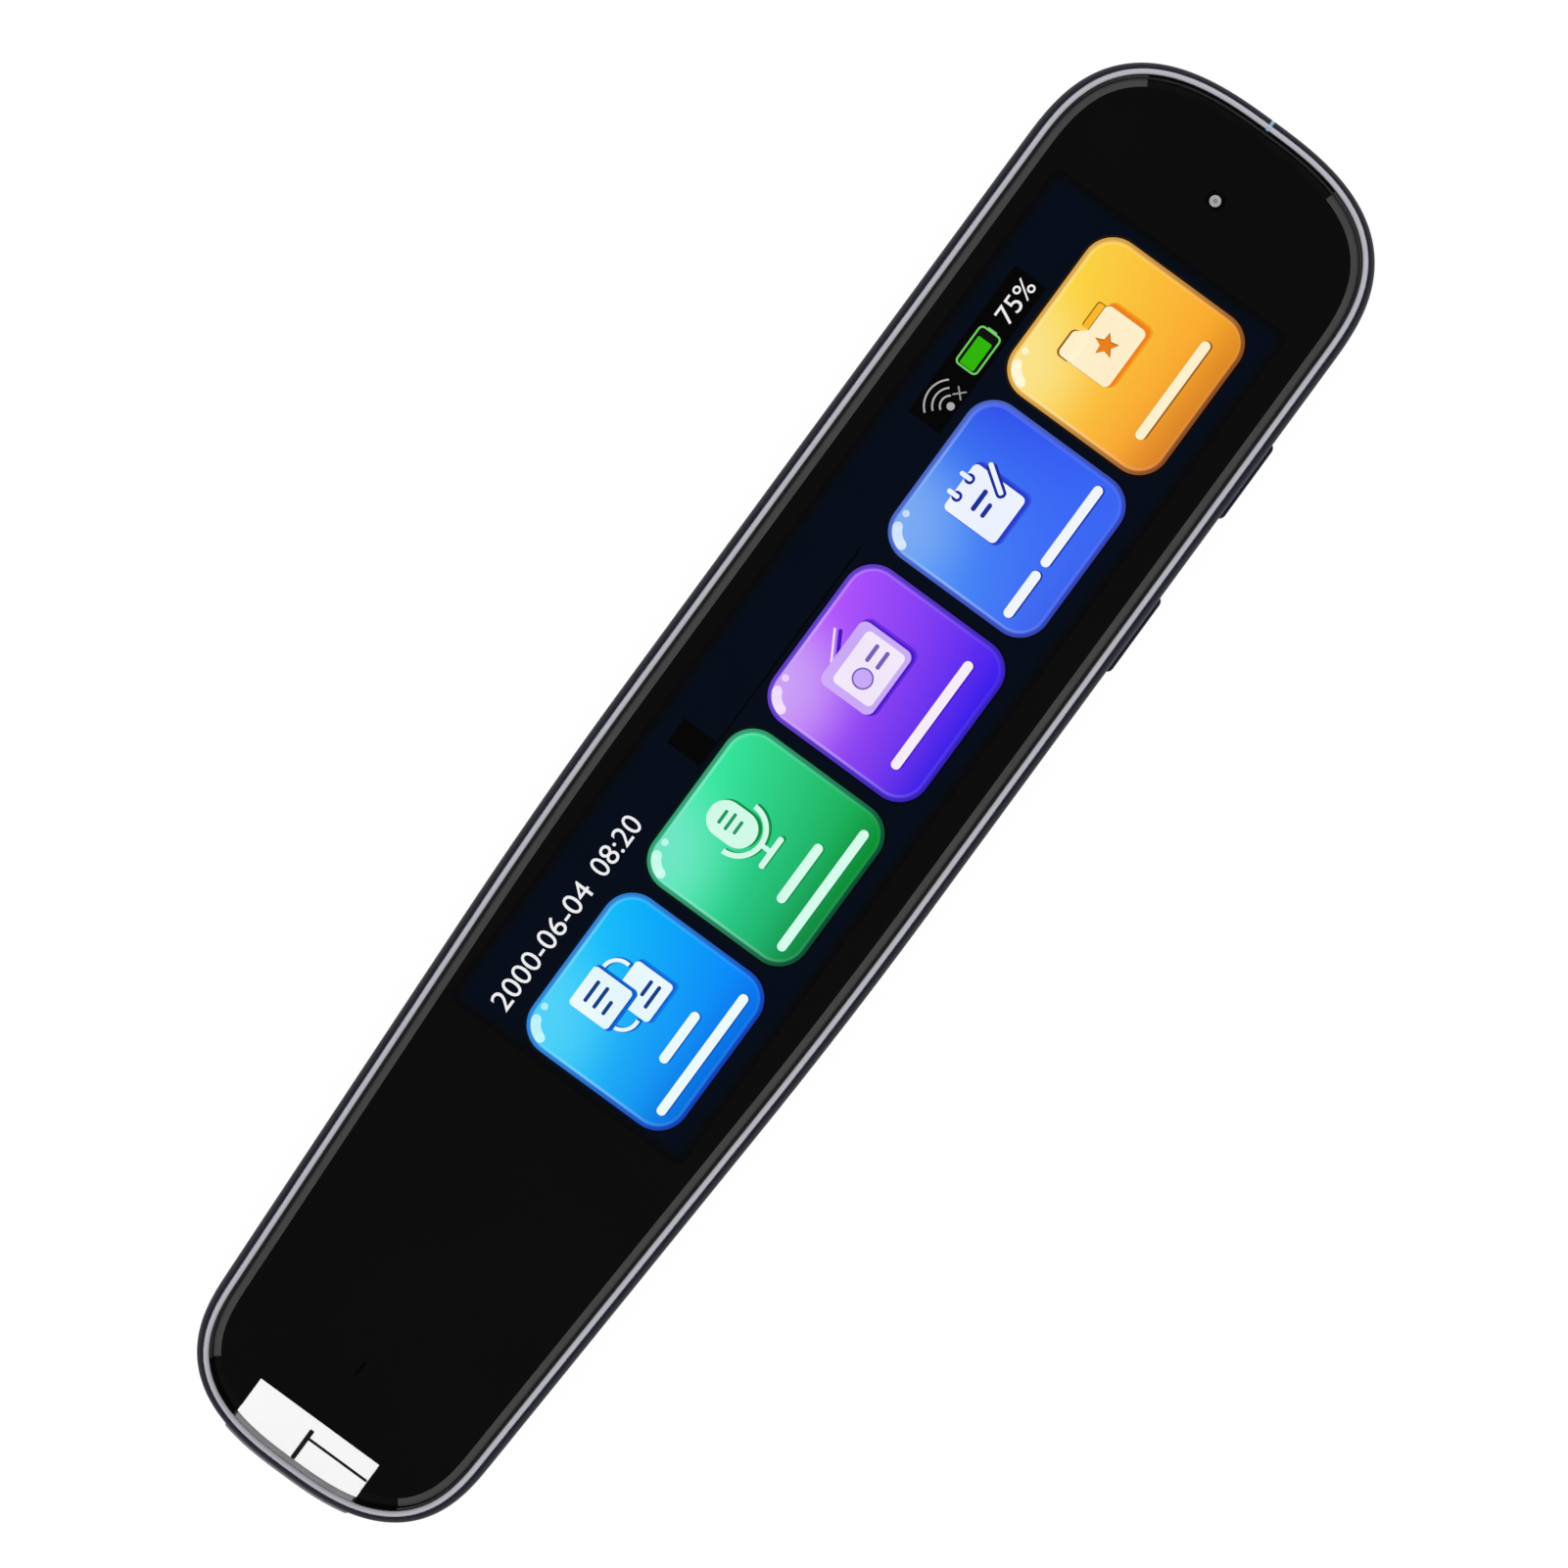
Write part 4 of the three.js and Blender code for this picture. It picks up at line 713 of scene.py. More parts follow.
corner = add_node(tile_glow, "ShaderNodeCombineXYZ", inputs={0: across, 1: along}).outputs[0]
apart = calculate_place(tile_glow, "DISTANCE", corner, {1: (-1, -0.75, 0)})
near = map_range(tile_glow, apart, 0, given["Glow reach"], 1, 0, "SMOOTHERSTEP")
warm = mix_colours(tile_glow, near, ground, given["Glow"])
edge_shade = map_range(tile_glow, across, 0.4, 1, 0, given["Right shade"], "SMOOTHSTEP")
all_shade = calculate(tile_glow, "MULTIPLY", calculate(tile_glow, "SUBTRACT", 1, edge_shade), given["Shade"])
shaded = calculate_place(tile_glow, "SCALE", warm, {"Scale": all_shade})
tile_glow.links.new(shaded, glow_out.inputs["Colour"])


def glow_finish(name, tile, corners=None, shade=1.0, glow=None, reach=1.25, middle=None, half=None,
                right_shade=0.0):
    """A lit finish whose colour runs from corner to corner of a tile or of a part of its picture."""
    finish, tree, shader, place = new_finish(name, glowing)
    middle = middle or (tile_x, tile["y"] * mm)
    values = {"Place": place, "Middle X": middle[0], "Middle Y": middle[1], "Half size": half or 8.4 * mm,
              "Glow reach": reach, "Shade": shade, "Right shade": right_shade}
    for title, colour in zip(("Near left", "Near right", "Far left", "Far right", "Glow"),
                             (*(corners or tile["corners"]), glow or tile["glow"])):
        values[title] = (*lit(*colour), 1)
    glow_node = add_node(tree, "ShaderNodeGroup", {"node_tree": tile_glow}, values)
    tree.links.new(glow_node.outputs["Colour"], shader.inputs["Emission Color"])
    return finish


def blend_colours(colour, other, share):
    return tuple(round(a + (b - a) * share) for a, b in zip(colour, other))


tiles = [
    {"name": "amber", "y": 50.19, "glow": (250, 226, 140), "border": ((213, 164, 80), (150, 87, 45)),
     "paper": (254, 240, 205), "ink": (234, 126, 26), "back": (250, 184, 44), "outline": (150, 98, 20),
     "shadow": (238, 130, 20), "streak": (254, 246, 214), "right_shade": 0.24,
     "corners": ((253, 228, 72), (247, 142, 44), (250, 206, 64), (250, 156, 38))},
    {"name": "indigo", "y": 32.16, "glow": (124, 170, 243), "border": ((74, 103, 195), (52, 70, 180)),
     "paper": (240, 245, 254), "ink": (26, 44, 150), "back": (66, 112, 240), "outline": (22, 40, 150),
     "shadow": (38, 58, 200), "streak": (212, 230, 250), "right_shade": 0.05,
     "corners": ((78, 164, 252), (64, 99, 241), (45, 70, 233), (58, 105, 250))},
    {"name": "violet", "y": 13.93, "glow": (202, 160, 246), "border": ((94, 64, 193), (54, 32, 180)),
     "paper": (246, 236, 250), "ink": (122, 96, 186), "back": (206, 172, 248), "outline": (70, 16, 190),
     "shadow": (70, 18, 198), "streak": (240, 222, 252), "right_shade": 0.0,
     "corners": ((201, 96, 255), (53, 30, 229), (164, 78, 250), (46, 22, 236))},
    {"name": "green", "y": -4.29, "glow": (112, 229, 196), "border": ((53, 155, 115), (10, 86, 59)),
     "paper": (214, 252, 236), "ink": (34, 150, 100), "back": (120, 226, 180), "outline": (20, 140, 80),
     "shadow": (16, 140, 66), "streak": (202, 250, 234), "right_shade": 0.2,
     "corners": ((58, 251, 185), (14, 146, 66), (53, 222, 149), (4, 154, 44))},
    {"name": "azure", "y": -22.5, "glow": (80, 208, 247), "border": ((50, 130, 205), (18, 70, 186)),
     "paper": (236, 250, 253), "ink": (16, 60, 130), "back": (120, 210, 250), "outline": (8, 88, 186),
     "shadow": (6, 104, 214), "streak": (192, 243, 250), "right_shade": 0.16,
     "corners": ((46, 219, 255), (0, 115, 236), (2, 180, 248), (5, 118, 250))},
]


def tint(piece, index):
    """Gives the selected faces one of the piece's finishes."""
    piece.active_material_index = index
    bpy.ops.object.material_slot_assign()


for tile in tiles:
    square = new_piece("tile_" + tile["name"], bpy.ops.mesh.primitive_plane_add, size=2 * tile_half * mm,
                       location=(tile_x, tile["y"] * mm, 0))
    left, right = tile["border"]
    border = (left, right, left, right)
    light = [blend_colours(colour, (255, 255, 255), share)
             for colour, share in zip(tile["corners"], (0.5, 0.1, 0.14, 0.05))]
    for title, colours, shade in (("face", None, 1), ("edge", border, 0.02), ("border", border, 1),
                                  ("inner_border", border, 1.25), ("line", light, 1)):
        square.data.materials.append(glow_finish(tile["name"] + "_" + title, tile, colours, shade,
                                                 glow=left if colours is border else None,
                                                 right_shade=tile["right_shade"]))
    round_corners(square, tile_corner, 12)
    open_all(square)
    for index, width in ((1, 0.22), (2, 0.24), (3, 0.14), (4, 0.24)):
        tint(square, index)
        step_in(width * mm, 0)
    tint(square, 0)
    thicken(square, 2)
    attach(square, "case")

# Pictograms on the tiles: a folder, a notepad, a recorder, a microphone and two cards, in pale tints.
# Each is put together from flat bars, discs and arcs one layer above another, over a darker shadow,
# and one or two rows of plain rounded bars lie below it.


def disc(name, origin, right, up, radius, layer):
    return thicken(round_sheet(name, in_picture(origin, right, up), radius * mm, 40), layer)


def arc(name, origin, right, up, radius, width, cuts, layer):
    """A ring kept on the inner side of each cut, a direction in the picture's own degrees."""
    middle = in_picture(origin, right, up)
    ring = round_sheet(name, middle, radius * mm, 72)
    open_all(ring)
    step_in(width * mm, 0)
    bpy.ops.mesh.delete(type="FACE")
    for way in cuts:
        turn = math.radians(way + 90)
        open_all(ring)
        bpy.ops.mesh.bisect(plane_co=middle, plane_no=(math.cos(turn), math.sin(turn), 0), clear_outer=True)
    return thicken(ring, layer)


def star(name, origin, right, up, radius, layer):
    middle = in_picture(origin, right, up)
    shape = round_sheet(name, middle, radius * mm, 10, math.pi / 2)
    open_part(shape, "VERT", "vertices", lambda point: point.index % 2 == 1)
    bpy.ops.transform.resize(value=(0.46, 0.46, 1), center_override=middle)
    return thicken(shape, layer)


# One entry for each shape: its finish, its kind if it isn't a bar, and its sizes in the picture's directions
pictograms = {
    "amber": [
        ("shade", 0.1, 1.55, 6.7, 4.8, 0.8, 3), ("shadow", -0.05, 1.65, 6.6, 4.6, 0.7, 4),
        ("outline", -2.12, 4.5, 2.9, 1.66, 0.55, 3), ("outline", 1.25, 4.4, 2.7, 1.0, 0.3, 3),
        ("back", 1.2, 4.3, 2.6, 0.95, 0.25, 4), ("outline", -0.3, 1.95, 6.32, 4.43, 0.6, 5),
        ("paper", -0.3, 1.87, 6.27, 4.43, 0.58, 6), ("paper", -2.07, 4.28, 2.72, 1.7, 0.5, 6),
        ("paper", -0.72, 4.22, 1.05, 0.75, 0.12, 6, -45),
        ("outline star", -0.28, 2.02, 1.2, 7), ("ink star", -0.33, 2.02, 1.08, 8),
        ("outline", 0.12, -5.32, 10.7, 1.02, 0.5, 3), ("paper", 0.0, -5.2, 10.7, 0.92, 0.46, 4)],
    "indigo": [
        ("shade", 0.15, 2.1, 5.6, 6.1, 0.75, 3), ("shadow", 0.05, 2.2, 5.4, 5.95, 0.7, 4),
        ("paper", -0.08, 2.4, 5.04, 5.67, 0.5, 5),
        ("outline", 0.92, 4.8, 1.0, 0.95, 0.45, 6), ("outline", -1.02, 4.8, 1.0, 0.95, 0.45, 6),
        ("paper", 0.92, 5.2, 0.45, 1.25, 0.2, 7), ("paper", -1.02, 5.2, 0.45, 1.25, 0.2, 7),
        ("outline", 2.2, 2.75, 3.3, 1.0, 0.45, 6, 55), ("paper", 2.3, 2.9, 3.1, 0.46, 0.2, 7, 55),
        ("ink", -0.12, 2.96, 2.28, 0.45, 0.2, 6), ("ink", -0.5, 1.92, 1.52, 0.42, 0.2, 6),
        ("outline", -4.55, -5.2, 5.04, 1.02, 0.5, 3), ("paper", -4.64, -5.1, 5.0, 0.92, 0.46, 4),
        ("outline", 2.95, -5.2, 8.8, 1.02, 0.5, 3), ("paper", 2.87, -5.1, 8.8, 0.92, 0.46, 4)],
    "violet": [
        ("shade", 0.3, 2.0, 7.3, 6.0, 0.9, 3), ("shadow", 0.15, 2.1, 7.1, 5.85, 0.85, 4),
        ("back", 0.02, 2.25, 6.94, 5.7, 0.8, 5), ("paper", 0.13, 2.0, 5.65, 4.28, 0.5, 6),
        ("ink disc", -0.92, 1.94, 1.0, 7), ("back disc", -0.92, 1.94, 0.84, 8),
        ("ink", 1.42, 2.6, 1.87, 0.4, 0.18, 7), ("ink", 1.42, 1.45, 1.87, 0.4, 0.18, 7),
        ("streak", -0.09, 5.84, 3.2, 0.22, 0.1, 4, 30), ("outline", 0.5, 5.57, 2.3, 0.36, 0.12, 4, 30),
        ("outline", 0.2, -5.1, 11.8, 1.02, 0.5, 3), ("paper", 0.1, -5.0, 11.8, 0.92, 0.46, 4)],
    "green": [
        ("shadow", 0.12, 3.45, 3.5, 5.0, 1.7, 3), ("paper", -0.1, 3.65, 3.47, 4.94, 1.7, 5),
        ("ink", -0.06, 4.73, 1.46, 0.32, 0.14, 6), ("ink", -0.02, 3.92, 1.8, 0.32, 0.14, 6),
        ("ink", -0.06, 3.04, 1.4, 0.32, 0.14, 6),
        ("shadow arc", 0.1, 2.8, 2.75, 0.55, (90,), 3), ("paper arc", -0.07, 2.95, 2.7, 0.5, (90,), 5),
        ("paper", -0.07, 0.05, 0.45, 0.9, 0.05, 5), ("shadow", 0.1, -0.8, 3.4, 0.55, 0.25, 3),
        ("paper", -0.1, -0.67, 3.4, 0.55, 0.25, 5),
        ("outline", 0.0, -3.93, 6.37, 1.0, 0.5, 3), ("paper", -0.08, -3.83, 6.37, 0.9, 0.45, 4),
        ("outline", 0.0, -6.5, 13.25, 1.0, 0.5, 3), ("paper", -0.1, -6.4, 13.25, 0.9, 0.45, 4)],
    "azure": [
        ("outline arc", 1.1, 3.78, 1.76, 0.5, (-104, 194), 3),
        ("outline arc", -1.2, 1.43, 1.76, 0.5, (76, 14), 3),
        ("paper arc", 1.0, 3.9, 1.68, 0.36, (-100, 190), 4),
        ("paper arc", -1.3, 1.55, 1.68, 0.36, (80, 10), 4),
        ("shade", 1.55, 1.0, 4.4, 4.4, 0.5, 3), ("shadow", 1.45, 1.12, 4.3, 4.3, 0.45, 4),
        ("paper", 1.29, 1.28, 4.09, 4.1, 0.4, 5),
        ("shadow", -1.2, 3.7, 4.5, 4.6, 0.5, 6), ("outline", -1.28, 3.82, 4.35, 4.4, 0.45, 7),
        ("paper", -1.36, 3.95, 4.18, 4.28, 0.4, 8),
        ("ink", -1.36, 4.95, 2.3, 0.36, 0.15, 9), ("ink", -1.36, 3.95, 2.3, 0.36, 0.15, 9),
        ("ink", -1.76, 2.95, 1.5, 0.36, 0.15, 9),
        ("ink", 1.75, 1.15, 1.7, 0.36, 0.15, 6), ("ink", 1.4, 0.25, 2.4, 0.36, 0.15, 6),
        ("outline", 0.02, -3.93, 5.5, 1.0, 0.5, 3), ("paper", -0.07, -3.83, 5.5, 0.9, 0.45, 4),
        ("outline", 0.0, -6.5, 13.25, 1.0, 0.5, 3), ("paper", -0.1, -6.4, 13.25, 0.9, 0.45, 4)],
}
for tile in tiles:
    origin = (tile_x, tile["y"] * mm)
    ground = tile["corners"]
    finishes = {}
    for title in ("paper", "ink", "back", "outline", "shadow", "streak"):
        colour = tile[title]
        low = blend_colours(colour, ground[1], 0.1)
        finishes[title] = glow_finish(tile["name"] + "_" + title, tile, (low, colour, colour, colour),
                                      glow=colour, half=5 * mm)
    shade = [blend_colours(colour, tile["shadow"], 0.5) for colour in ground]
    finishes["shade"] = glow_finish(tile["name"] + "_shade", tile, shade, reach=0.6)
    shapes = []
    for number, (words, *sizes) in enumerate(pictograms[tile["name"]]):
        title, _, kind = words.partition(" ")
        make = {"": sticker, "disc": disc, "arc": arc, "star": star}[kind]
        shape = make(f"shape_{number}", origin, *sizes)
        wear(shape, finishes[title])
        shapes.append(shape)
    picture = join_pieces(*shapes)
    picture.name = "pictogram_" + tile["name"]
    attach(picture, "case")

# Gloss marks: a curved streak and a dot of white light, drawn in the near left corner of each tile.
# They are arcs and discs of the picture, one layer above the tile's face.
gloss_right, gloss_up, gloss_layer = -5.62, 5.67, 3
for tile in tiles:
    origin = (tile_x, tile["y"] * mm)
    gloss = arc("gloss_" + tile["name"], origin, gloss_right, gloss_up, 2.38, 0.92, (21, 254), gloss_layer)
    for right, up, radius in ((-0.69, 1.79, 0.45), (-1.84, 0.55, 0.45), (0.67, 1.88, 0.33)):
        join_pieces(gloss, disc("dot", origin, gloss_right + right, gloss_up + up, radius, gloss_layer))
    pale = tile["streak"]
    soft = blend_colours(pale, tile["glow"], 0.25)
    wear(gloss, glow_finish(tile["name"] + "_gloss", tile, (pale, pale, soft, pale), glow=pale, reach=0.01,
                            middle=(tile_x - 6.8 * mm, (tile["y"] - 6.2) * mm), half=1.5 * mm))
    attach(gloss, "case")

# Status line: plain digits for the date, the time and the charge, a battery sign and a wireless sign.
# The digits are text turned to a mesh. The signs are arcs, discs and bars, on black patches of the screen,
# and a fine black tick is printed on the glass near the tip.


def plain_finish(name, colour, strength=1.0):
    """A lit finish with a slight change of tone over the screen."""
    tile = {"y": 14, "glow": colour, "corners": None}
    dim = tuple(int(c * 0.94) for c in colour)
    return glow_finish(name, tile, (colour, dim, dim, colour), shade=strength, reach=0.01, half=46 * mm)


def digits(name, text, start_y, end_y, base_x, height, layer):
    """A line of digits whose height and length are set, reading toward +Y."""
    take(None)
    bpy.ops.object.text_add(location=(0, 0, 0))
    line = bpy.context.object
    line.data.body = text
    line.data.resolution_u = 4
    bpy.ops.object.convert(target="MESH")
    line = bpy.context.object
    low_x, high_x = (pick(v.co.x for v in line.data.vertices) for pick in (min, max))
    low_y, high_y = (pick(v.co.y for v in line.data.vertices) for pick in (min, max))
    wide, high = (end_y - start_y) / (high_x - low_x), height / (high_y - low_y)
    line.scale = (wide, high, 1)
    line.location = (-low_x * wide, -low_y * high, 0)
    use_place(line, name)
    line.rotation_euler = (0, 0, math.pi / 2)
    line.location = (base_x, start_y, 0)
    use_place(line, name)
    open_all(line)
    bpy.ops.mesh.remove_doubles(threshold=0.001 * mm)
    return thicken(line, layer)


status_origin = (-9.2 * mm, 0)
status_layer = 3
status_white = join_pieces(*(
    digits(name, words, start_y * mm, end_y * mm, base_x * mm, height * mm, status_layer)
    for name, words, start_y, end_y, base_x, height in (
        ("status_digits", "2000-06-04", -29.93, -16.52, -8.19, 1.95),
        ("time_digits", "08:20", -15.06, -9.12, -8.19, 1.95),
        ("charge_digits", "75%", 46.2, 50.45, -8.25, 1.75))))
wear(status_white, plain_finish("white_digits", (244, 244, 246)))
battery_edge = sticker("status_battery", status_origin, 42.8, 0, 4.2, 2.4, 0.5, status_layer)
battery_knob = sticker("battery_knob", status_origin, 44.92, 0, 0.24, 1.0, 0.1, status_layer)
battery_gap = sticker("battery_gap", status_origin, 42.8, 0, 3.85, 2.05, 0.35, status_layer + 1)
battery_fill = sticker("battery_fill", status_origin, 42.42, 0, 2.95, 1.5, 0.15, status_layer + 2)
status_battery = join_pieces(battery_edge, battery_knob)
wear(status_battery, plain_finish("battery_line", (120, 212, 106)))
wear(battery_gap, plain_finish("battery_dark", (12, 16, 9)))
wear(battery_fill, plain_finish("battery_charge", (48, 188, 6)))
join_pieces(status_battery, battery_gap, battery_fill)
strokes = join_pieces(*(sticker("stroke", status_origin, 38.72, -0.92, 1.3, 0.15, 0.05, status_layer, turn)
                        for turn in (45, -45)))
wear(strokes, plain_finish("stroke_grey", (150, 150, 154)))
status_waves = join_pieces(disc("status_waves", status_origin, 37.3, -0.97, 0.37, status_layer),
                           *(arc("wave", status_origin, 37.3, -0.97, radius, 0.17, (-50, 230), status_layer)
                             for radius in (1.05, 1.74, 2.48)))
wear(status_waves, plain_finish("wave_grey", (176, 176, 180)))
join_pieces(status_waves, strokes)
status_patch = join_pieces(
    sticker("status_patch", status_origin, 42.8, 0.1, 16.2, 3.5, 0, status_layer - 1),
    sticker("small_patch", status_origin, -0.6, -0.1, 2.7, 3.7, 0, status_layer - 1),
    sticker("thin_line", status_origin, 11.6, -1.95, 21.6, 0.2, 0, status_layer - 1),
    sticker("fine_tick", (0.1 * mm, 0), -63.3, 0, 1.6, 0.32, 0.1, 1))
wear(status_patch, plain_finish("patch_black", (1, 1, 1)))
for piece in (status_white, status_battery, status_waves, status_patch):
    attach(piece, "case")

# Microphone ring: a grey grommet in the hole of the glass, with a dished face and a fine mesh in its bore.
# It is a short rod stepped in over a soft rim, then a little down the bore to the mesh.
mic_ring = rod("mic_ring", 0.54 * mm, (0, mic_y, glass_low_z), 0.88 * mm, sides=48)
open_faces(mic_ring, lambda face: face.normal.z > 0.9)
for width, rise in ((0.03, 0.04), (0.05, 0.025), (0.06, 0.005), (0.07, -0.015), (0.07, -0.03), (0.05, -0.03)):
    step_in(width * mm, rise * mm)
raise_face(-0.06 * mm)
smooth(mic_ring, 35)
grey_rubber = grain_finish("grey_rubber", (0.36, 0.36, 0.37), (0.45, 0.45, 0.46), 0.5, 0.65, 15000, 0.004)
mesh_grey = grain_finish("mesh_grey", (0.2, 0.2, 0.205), (0.26, 0.26, 0.265), 0.6, 0.75, 30000, 0.004)
wear(mic_ring, grey_rubber, mesh_grey)
paint_faces(mic_ring, lambda x, y, z: z > 11 * mm and math.hypot(x, y - mic_y) < 0.05 * mm)
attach(mic_ring, "case")
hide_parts("mic_grommet")

# Side keys: two navy anodised caps that stand a little proud of the case, each with a flange behind
# the wall and a nub that presses its plunger. A block is bevelled at its ends and joined to the rest.
navy_anodised = grain_finish("navy_anodised", (0.02, 0.023, 0.046), (0.032, 0.036, 0.066), 0.34, 0.46,
                             12000, 0.005, 0.5, specular=0.3)
for word, y in key_places.items():
    cap = key_block(word + "_key_cap", y, 15, 17.38, 4.15, 1.2)
    open_edges(cap, lambda a, b: min(a.x, b.x) > 17 * mm and abs(a.z - b.z) > 1 * mm)
    bpy.ops.mesh.bevel(offset=0.6 * mm, segments=4)
    soften(cap, 0.18 * mm, 3, 40)
    for title, sizes, rounding in (("flange", (14.85, 15.45, 4.75, 1.8), 0.1),
                                   ("nub", (14.35, 15, 0.8, 0.6), 0.08)):
        part = key_block(title, y, *sizes)
        soften(part, rounding * mm)
        combine(cap, "UNION", part)
    smooth(cap, 30)
    wear(cap, navy_anodised)
    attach(cap, word + "_key")
    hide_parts(word + "_key")

# Scanning nose: a grey moulded hood that slides in at the tip, with a throat for the camera's view,
# a seat for its window, a flange that stops it behind the wall and two stems for the springs.
scan_hood = outline_sheet("scan_hood", 6.9 * mm)
bpy.ops.transform.resize(value=(1, 75.2 / 75, 1), center_override=(0, 0, 0))
raise_face(-5.1 * mm)
face_out(scan_hood)
trim(scan_hood, 6.8 * mm, -70.8 * mm)
slant_cut(scan_hood, 0.2 * mm)
soften(scan_hood, 0.22 * mm, 3, 20)


def behind_slant(piece):
    """Leans a tool back about the middle of the scan window."""
    piece.rotation_euler = (slant, 0, 0)
    piece.location = at(0, -74.249, 4.7)
    return use_place(piece, piece.name)


throat = block("throat", at(-5.9, -78, 3.2), at(5.9, -68, 6.2))
slant_cut(throat, -1.1 * mm)
aperture = behind_slant(block("aperture", at(-4.2, -3, -1.3), at(4.2, 3, 1.3)))
seat = behind_slant(block("window_seat", at(-4.6, -3, -1.7), at(4.6, 0.8, 1.7)))
for tool in (throat, aperture, seat):
    cut(scan_hood, tool)
flange = block("nose_flange", at(-9.1, -71.8, 4.8), at(9.1, -70.8, 6.9))
cut(flange, block("flange_gap", at(-5.9, -73, 4), at(5.9, -69, 6.2)))
combine(scan_hood, "UNION", flange)
for sign in (-1, 1):
    stem = rod("stem", 0.5 * mm, (sign * 7.95 * mm, -71 * mm, 5.85 * mm), 7.2 * mm, "Y", 24)
    soften(stem, 0.12 * mm, 2, 60)
    combine(scan_hood, "UNION", stem)
smooth(scan_hood, 30)
grey_moulding = grain_finish("grey_moulding", (0.24, 0.24, 0.26), (0.29, 0.29, 0.31), 0.4, 0.55,
                             bump=0.01, specular=0.3)
wear(scan_hood, grey_moulding, matt_black)


def in_throat(x, y, z):
    ahead = (y - tip_end_y) * slant_out[1] + (z - shoulder_z) * slant_out[2]
    return abs(x) < 5.95 * mm and 2.9 * mm < z < 6.5 * mm and ahead < -0.25 * mm


paint_faces(scan_hood, in_throat)
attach(scan_hood, "nose")
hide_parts("scan_nose")

# Return springs: two coils of steel wire over the stems of the nose, between its flange and the bracket's
# wall. Each is a ring of wire turned five times by the screw modifier.
spring_turns, spring_rise, wire_radius = 5, 3.8 * mm, 0.15 * mm
spring_wire = grain_finish("spring_wire", (0.4, 0.4, 0.42), (0.55, 0.55, 0.57), 0.2, 0.35, 9000, 0.002, 1)
for word, sign in (("left", -1), ("right", 1)):
    coil = new_piece("return_spring_" + word, bpy.ops.mesh.primitive_circle_add, vertices=10,
                     radius=wire_radius, location=at(0.95, 0, 0), rotation=(math.pi / 2, 0, 0))
    use_modifier(coil, "SCREW", iterations=spring_turns, steps=24, render_steps=24,
                 screw_offset=spring_rise / spring_turns)
    open_all(coil)
    bpy.ops.mesh.fill_holes(sides=0)
    face_out(coil)
    coil.rotation_euler = (-math.pi / 2, 0, 0)
    coil.location = (sign * 7.95 * mm, -70.55 * mm, 5.85 * mm)
    use_place(coil, coil.name)
    smooth(coil, 50)
    wear(coil, spring_wire)
    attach(coil, "case")
    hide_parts("nose_spring_" + word)
    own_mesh(coil)

# Charging port: a seamless drawn steel shell with a soft lip round its mouth, and a black tongue in it.
# The shell is a round-sided bar that is hollowed from its mouth. Twelve gilt contacts lie on each side of
# the tongue.
shell_depth = 7.05
port_shell = round_slot("port_shell", 8.94 * mm, 3.16 * mm, 66.95 * mm, 74.3 * mm, port_z)
open_faces(port_shell, lambda face: face.normal.y > 0.9)
for width, rise in ((0.06, 0.05), (0.18, 0), (0.06, -0.05)):
    step_in(width * mm, rise * mm)
bpy.ops.mesh.extrude_region_move(TRANSFORM_OT_translate={"value": at(0, -shell_depth, 0)})
take(port_shell)
port_shell.location = at(0, -0.05, 0)
use_place(port_shell, "port_shell")
smooth(port_shell, 35)
port_steel = grain_finish("port_steel", (0.46, 0.46, 0.48), (0.6, 0.6, 0.62), 0.22, 0.36, 9000, 0.003, 1)
wear(port_shell, port_steel)
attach(port_shell, "case")
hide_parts("usb_shell")
contact = block("contact", at(-0.15, 69.6, 5.52), at(0.15, 73.3, 5.56))
soften(contact, 0.03 * mm, 2)
contacts = []
for lift in (0, -0.72):
    for i in range(12):
        contacts.append(copy_piece(contact, "contact_copy", at((i - 5.5) * 0.5, 0, lift)))
bpy.data.objects.remove(contact)
port_contacts = join_pieces(*contacts)
port_contacts.name = "port_contacts"
gilt = grain_finish("gilt", (0.66, 0.42, 0.16), (0.82, 0.58, 0.26), 0.2, 0.35, 9000, 0.002, 1)
wear(port_contacts, gilt)
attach(port_contacts, "case")

# Status light: a thin strip of milky plastic, lit light blue from inside, that fills a slit across the rim
# of the frame and the lip of the cover, flush with both. It is two slices of those pieces, as they are
# before the slit is cut, joined to the stem that stands on the light inside.
strip_half = 0.15
slit_half = 0.16


def middle_block(name, half, low, high):
    """A block about the middle line of the pen, from its low Y and Z to its high ones."""
    return block(name, at(-half, *low), at(half, *high))


rim_slice = copy_piece(silver_rim, "rim_slice")
lip_slice = copy_piece(case_shell, "lip_slice")
combine(rim_slice, "INTERSECT", middle_block("rim_part", strip_half, (73, 8.2), (76, 12)))
combine(lip_slice, "INTERSECT", middle_block("lip_part", strip_half, (73.8, 8.2), (76, 12)))
cut(silver_rim, middle_block("rim_slit", slit_half, (70, 7), (76, 12)))
cut(case_shell, middle_block("lip_slit", slit_half, (73.7, 8.1), (76, 12)))
smooth(silver_rim, 40)
smooth(case_shell, 24)
foot_y, foot_z = (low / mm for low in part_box("status_light_pipe")[0][1:])
light_strip = join_pieces(rim_slice, lip_slice,
                          middle_block("bridge", strip_half, (72.48, 9.5), (73.1, 10.05)),
                          middle_block("upright", strip_half, (72.48, foot_z), (72.98, 9.6)),
                          middle_block("foot", strip_half, (foot_y, foot_z), (72.6, foot_z + 0.5)))
light_strip.name = "light_strip"
pipe_light = grain_finish("pipe_light", (0.2, 0.3, 0.4), (0.26, 0.37, 0.47), 0.3, 0.4, 9000, 0.002,
                          fixed={"Emission Color": (0.35, 0.62, 1, 1), "Emission Strength": 0.17})
wear(light_strip, pipe_light)
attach(light_strip, "case")
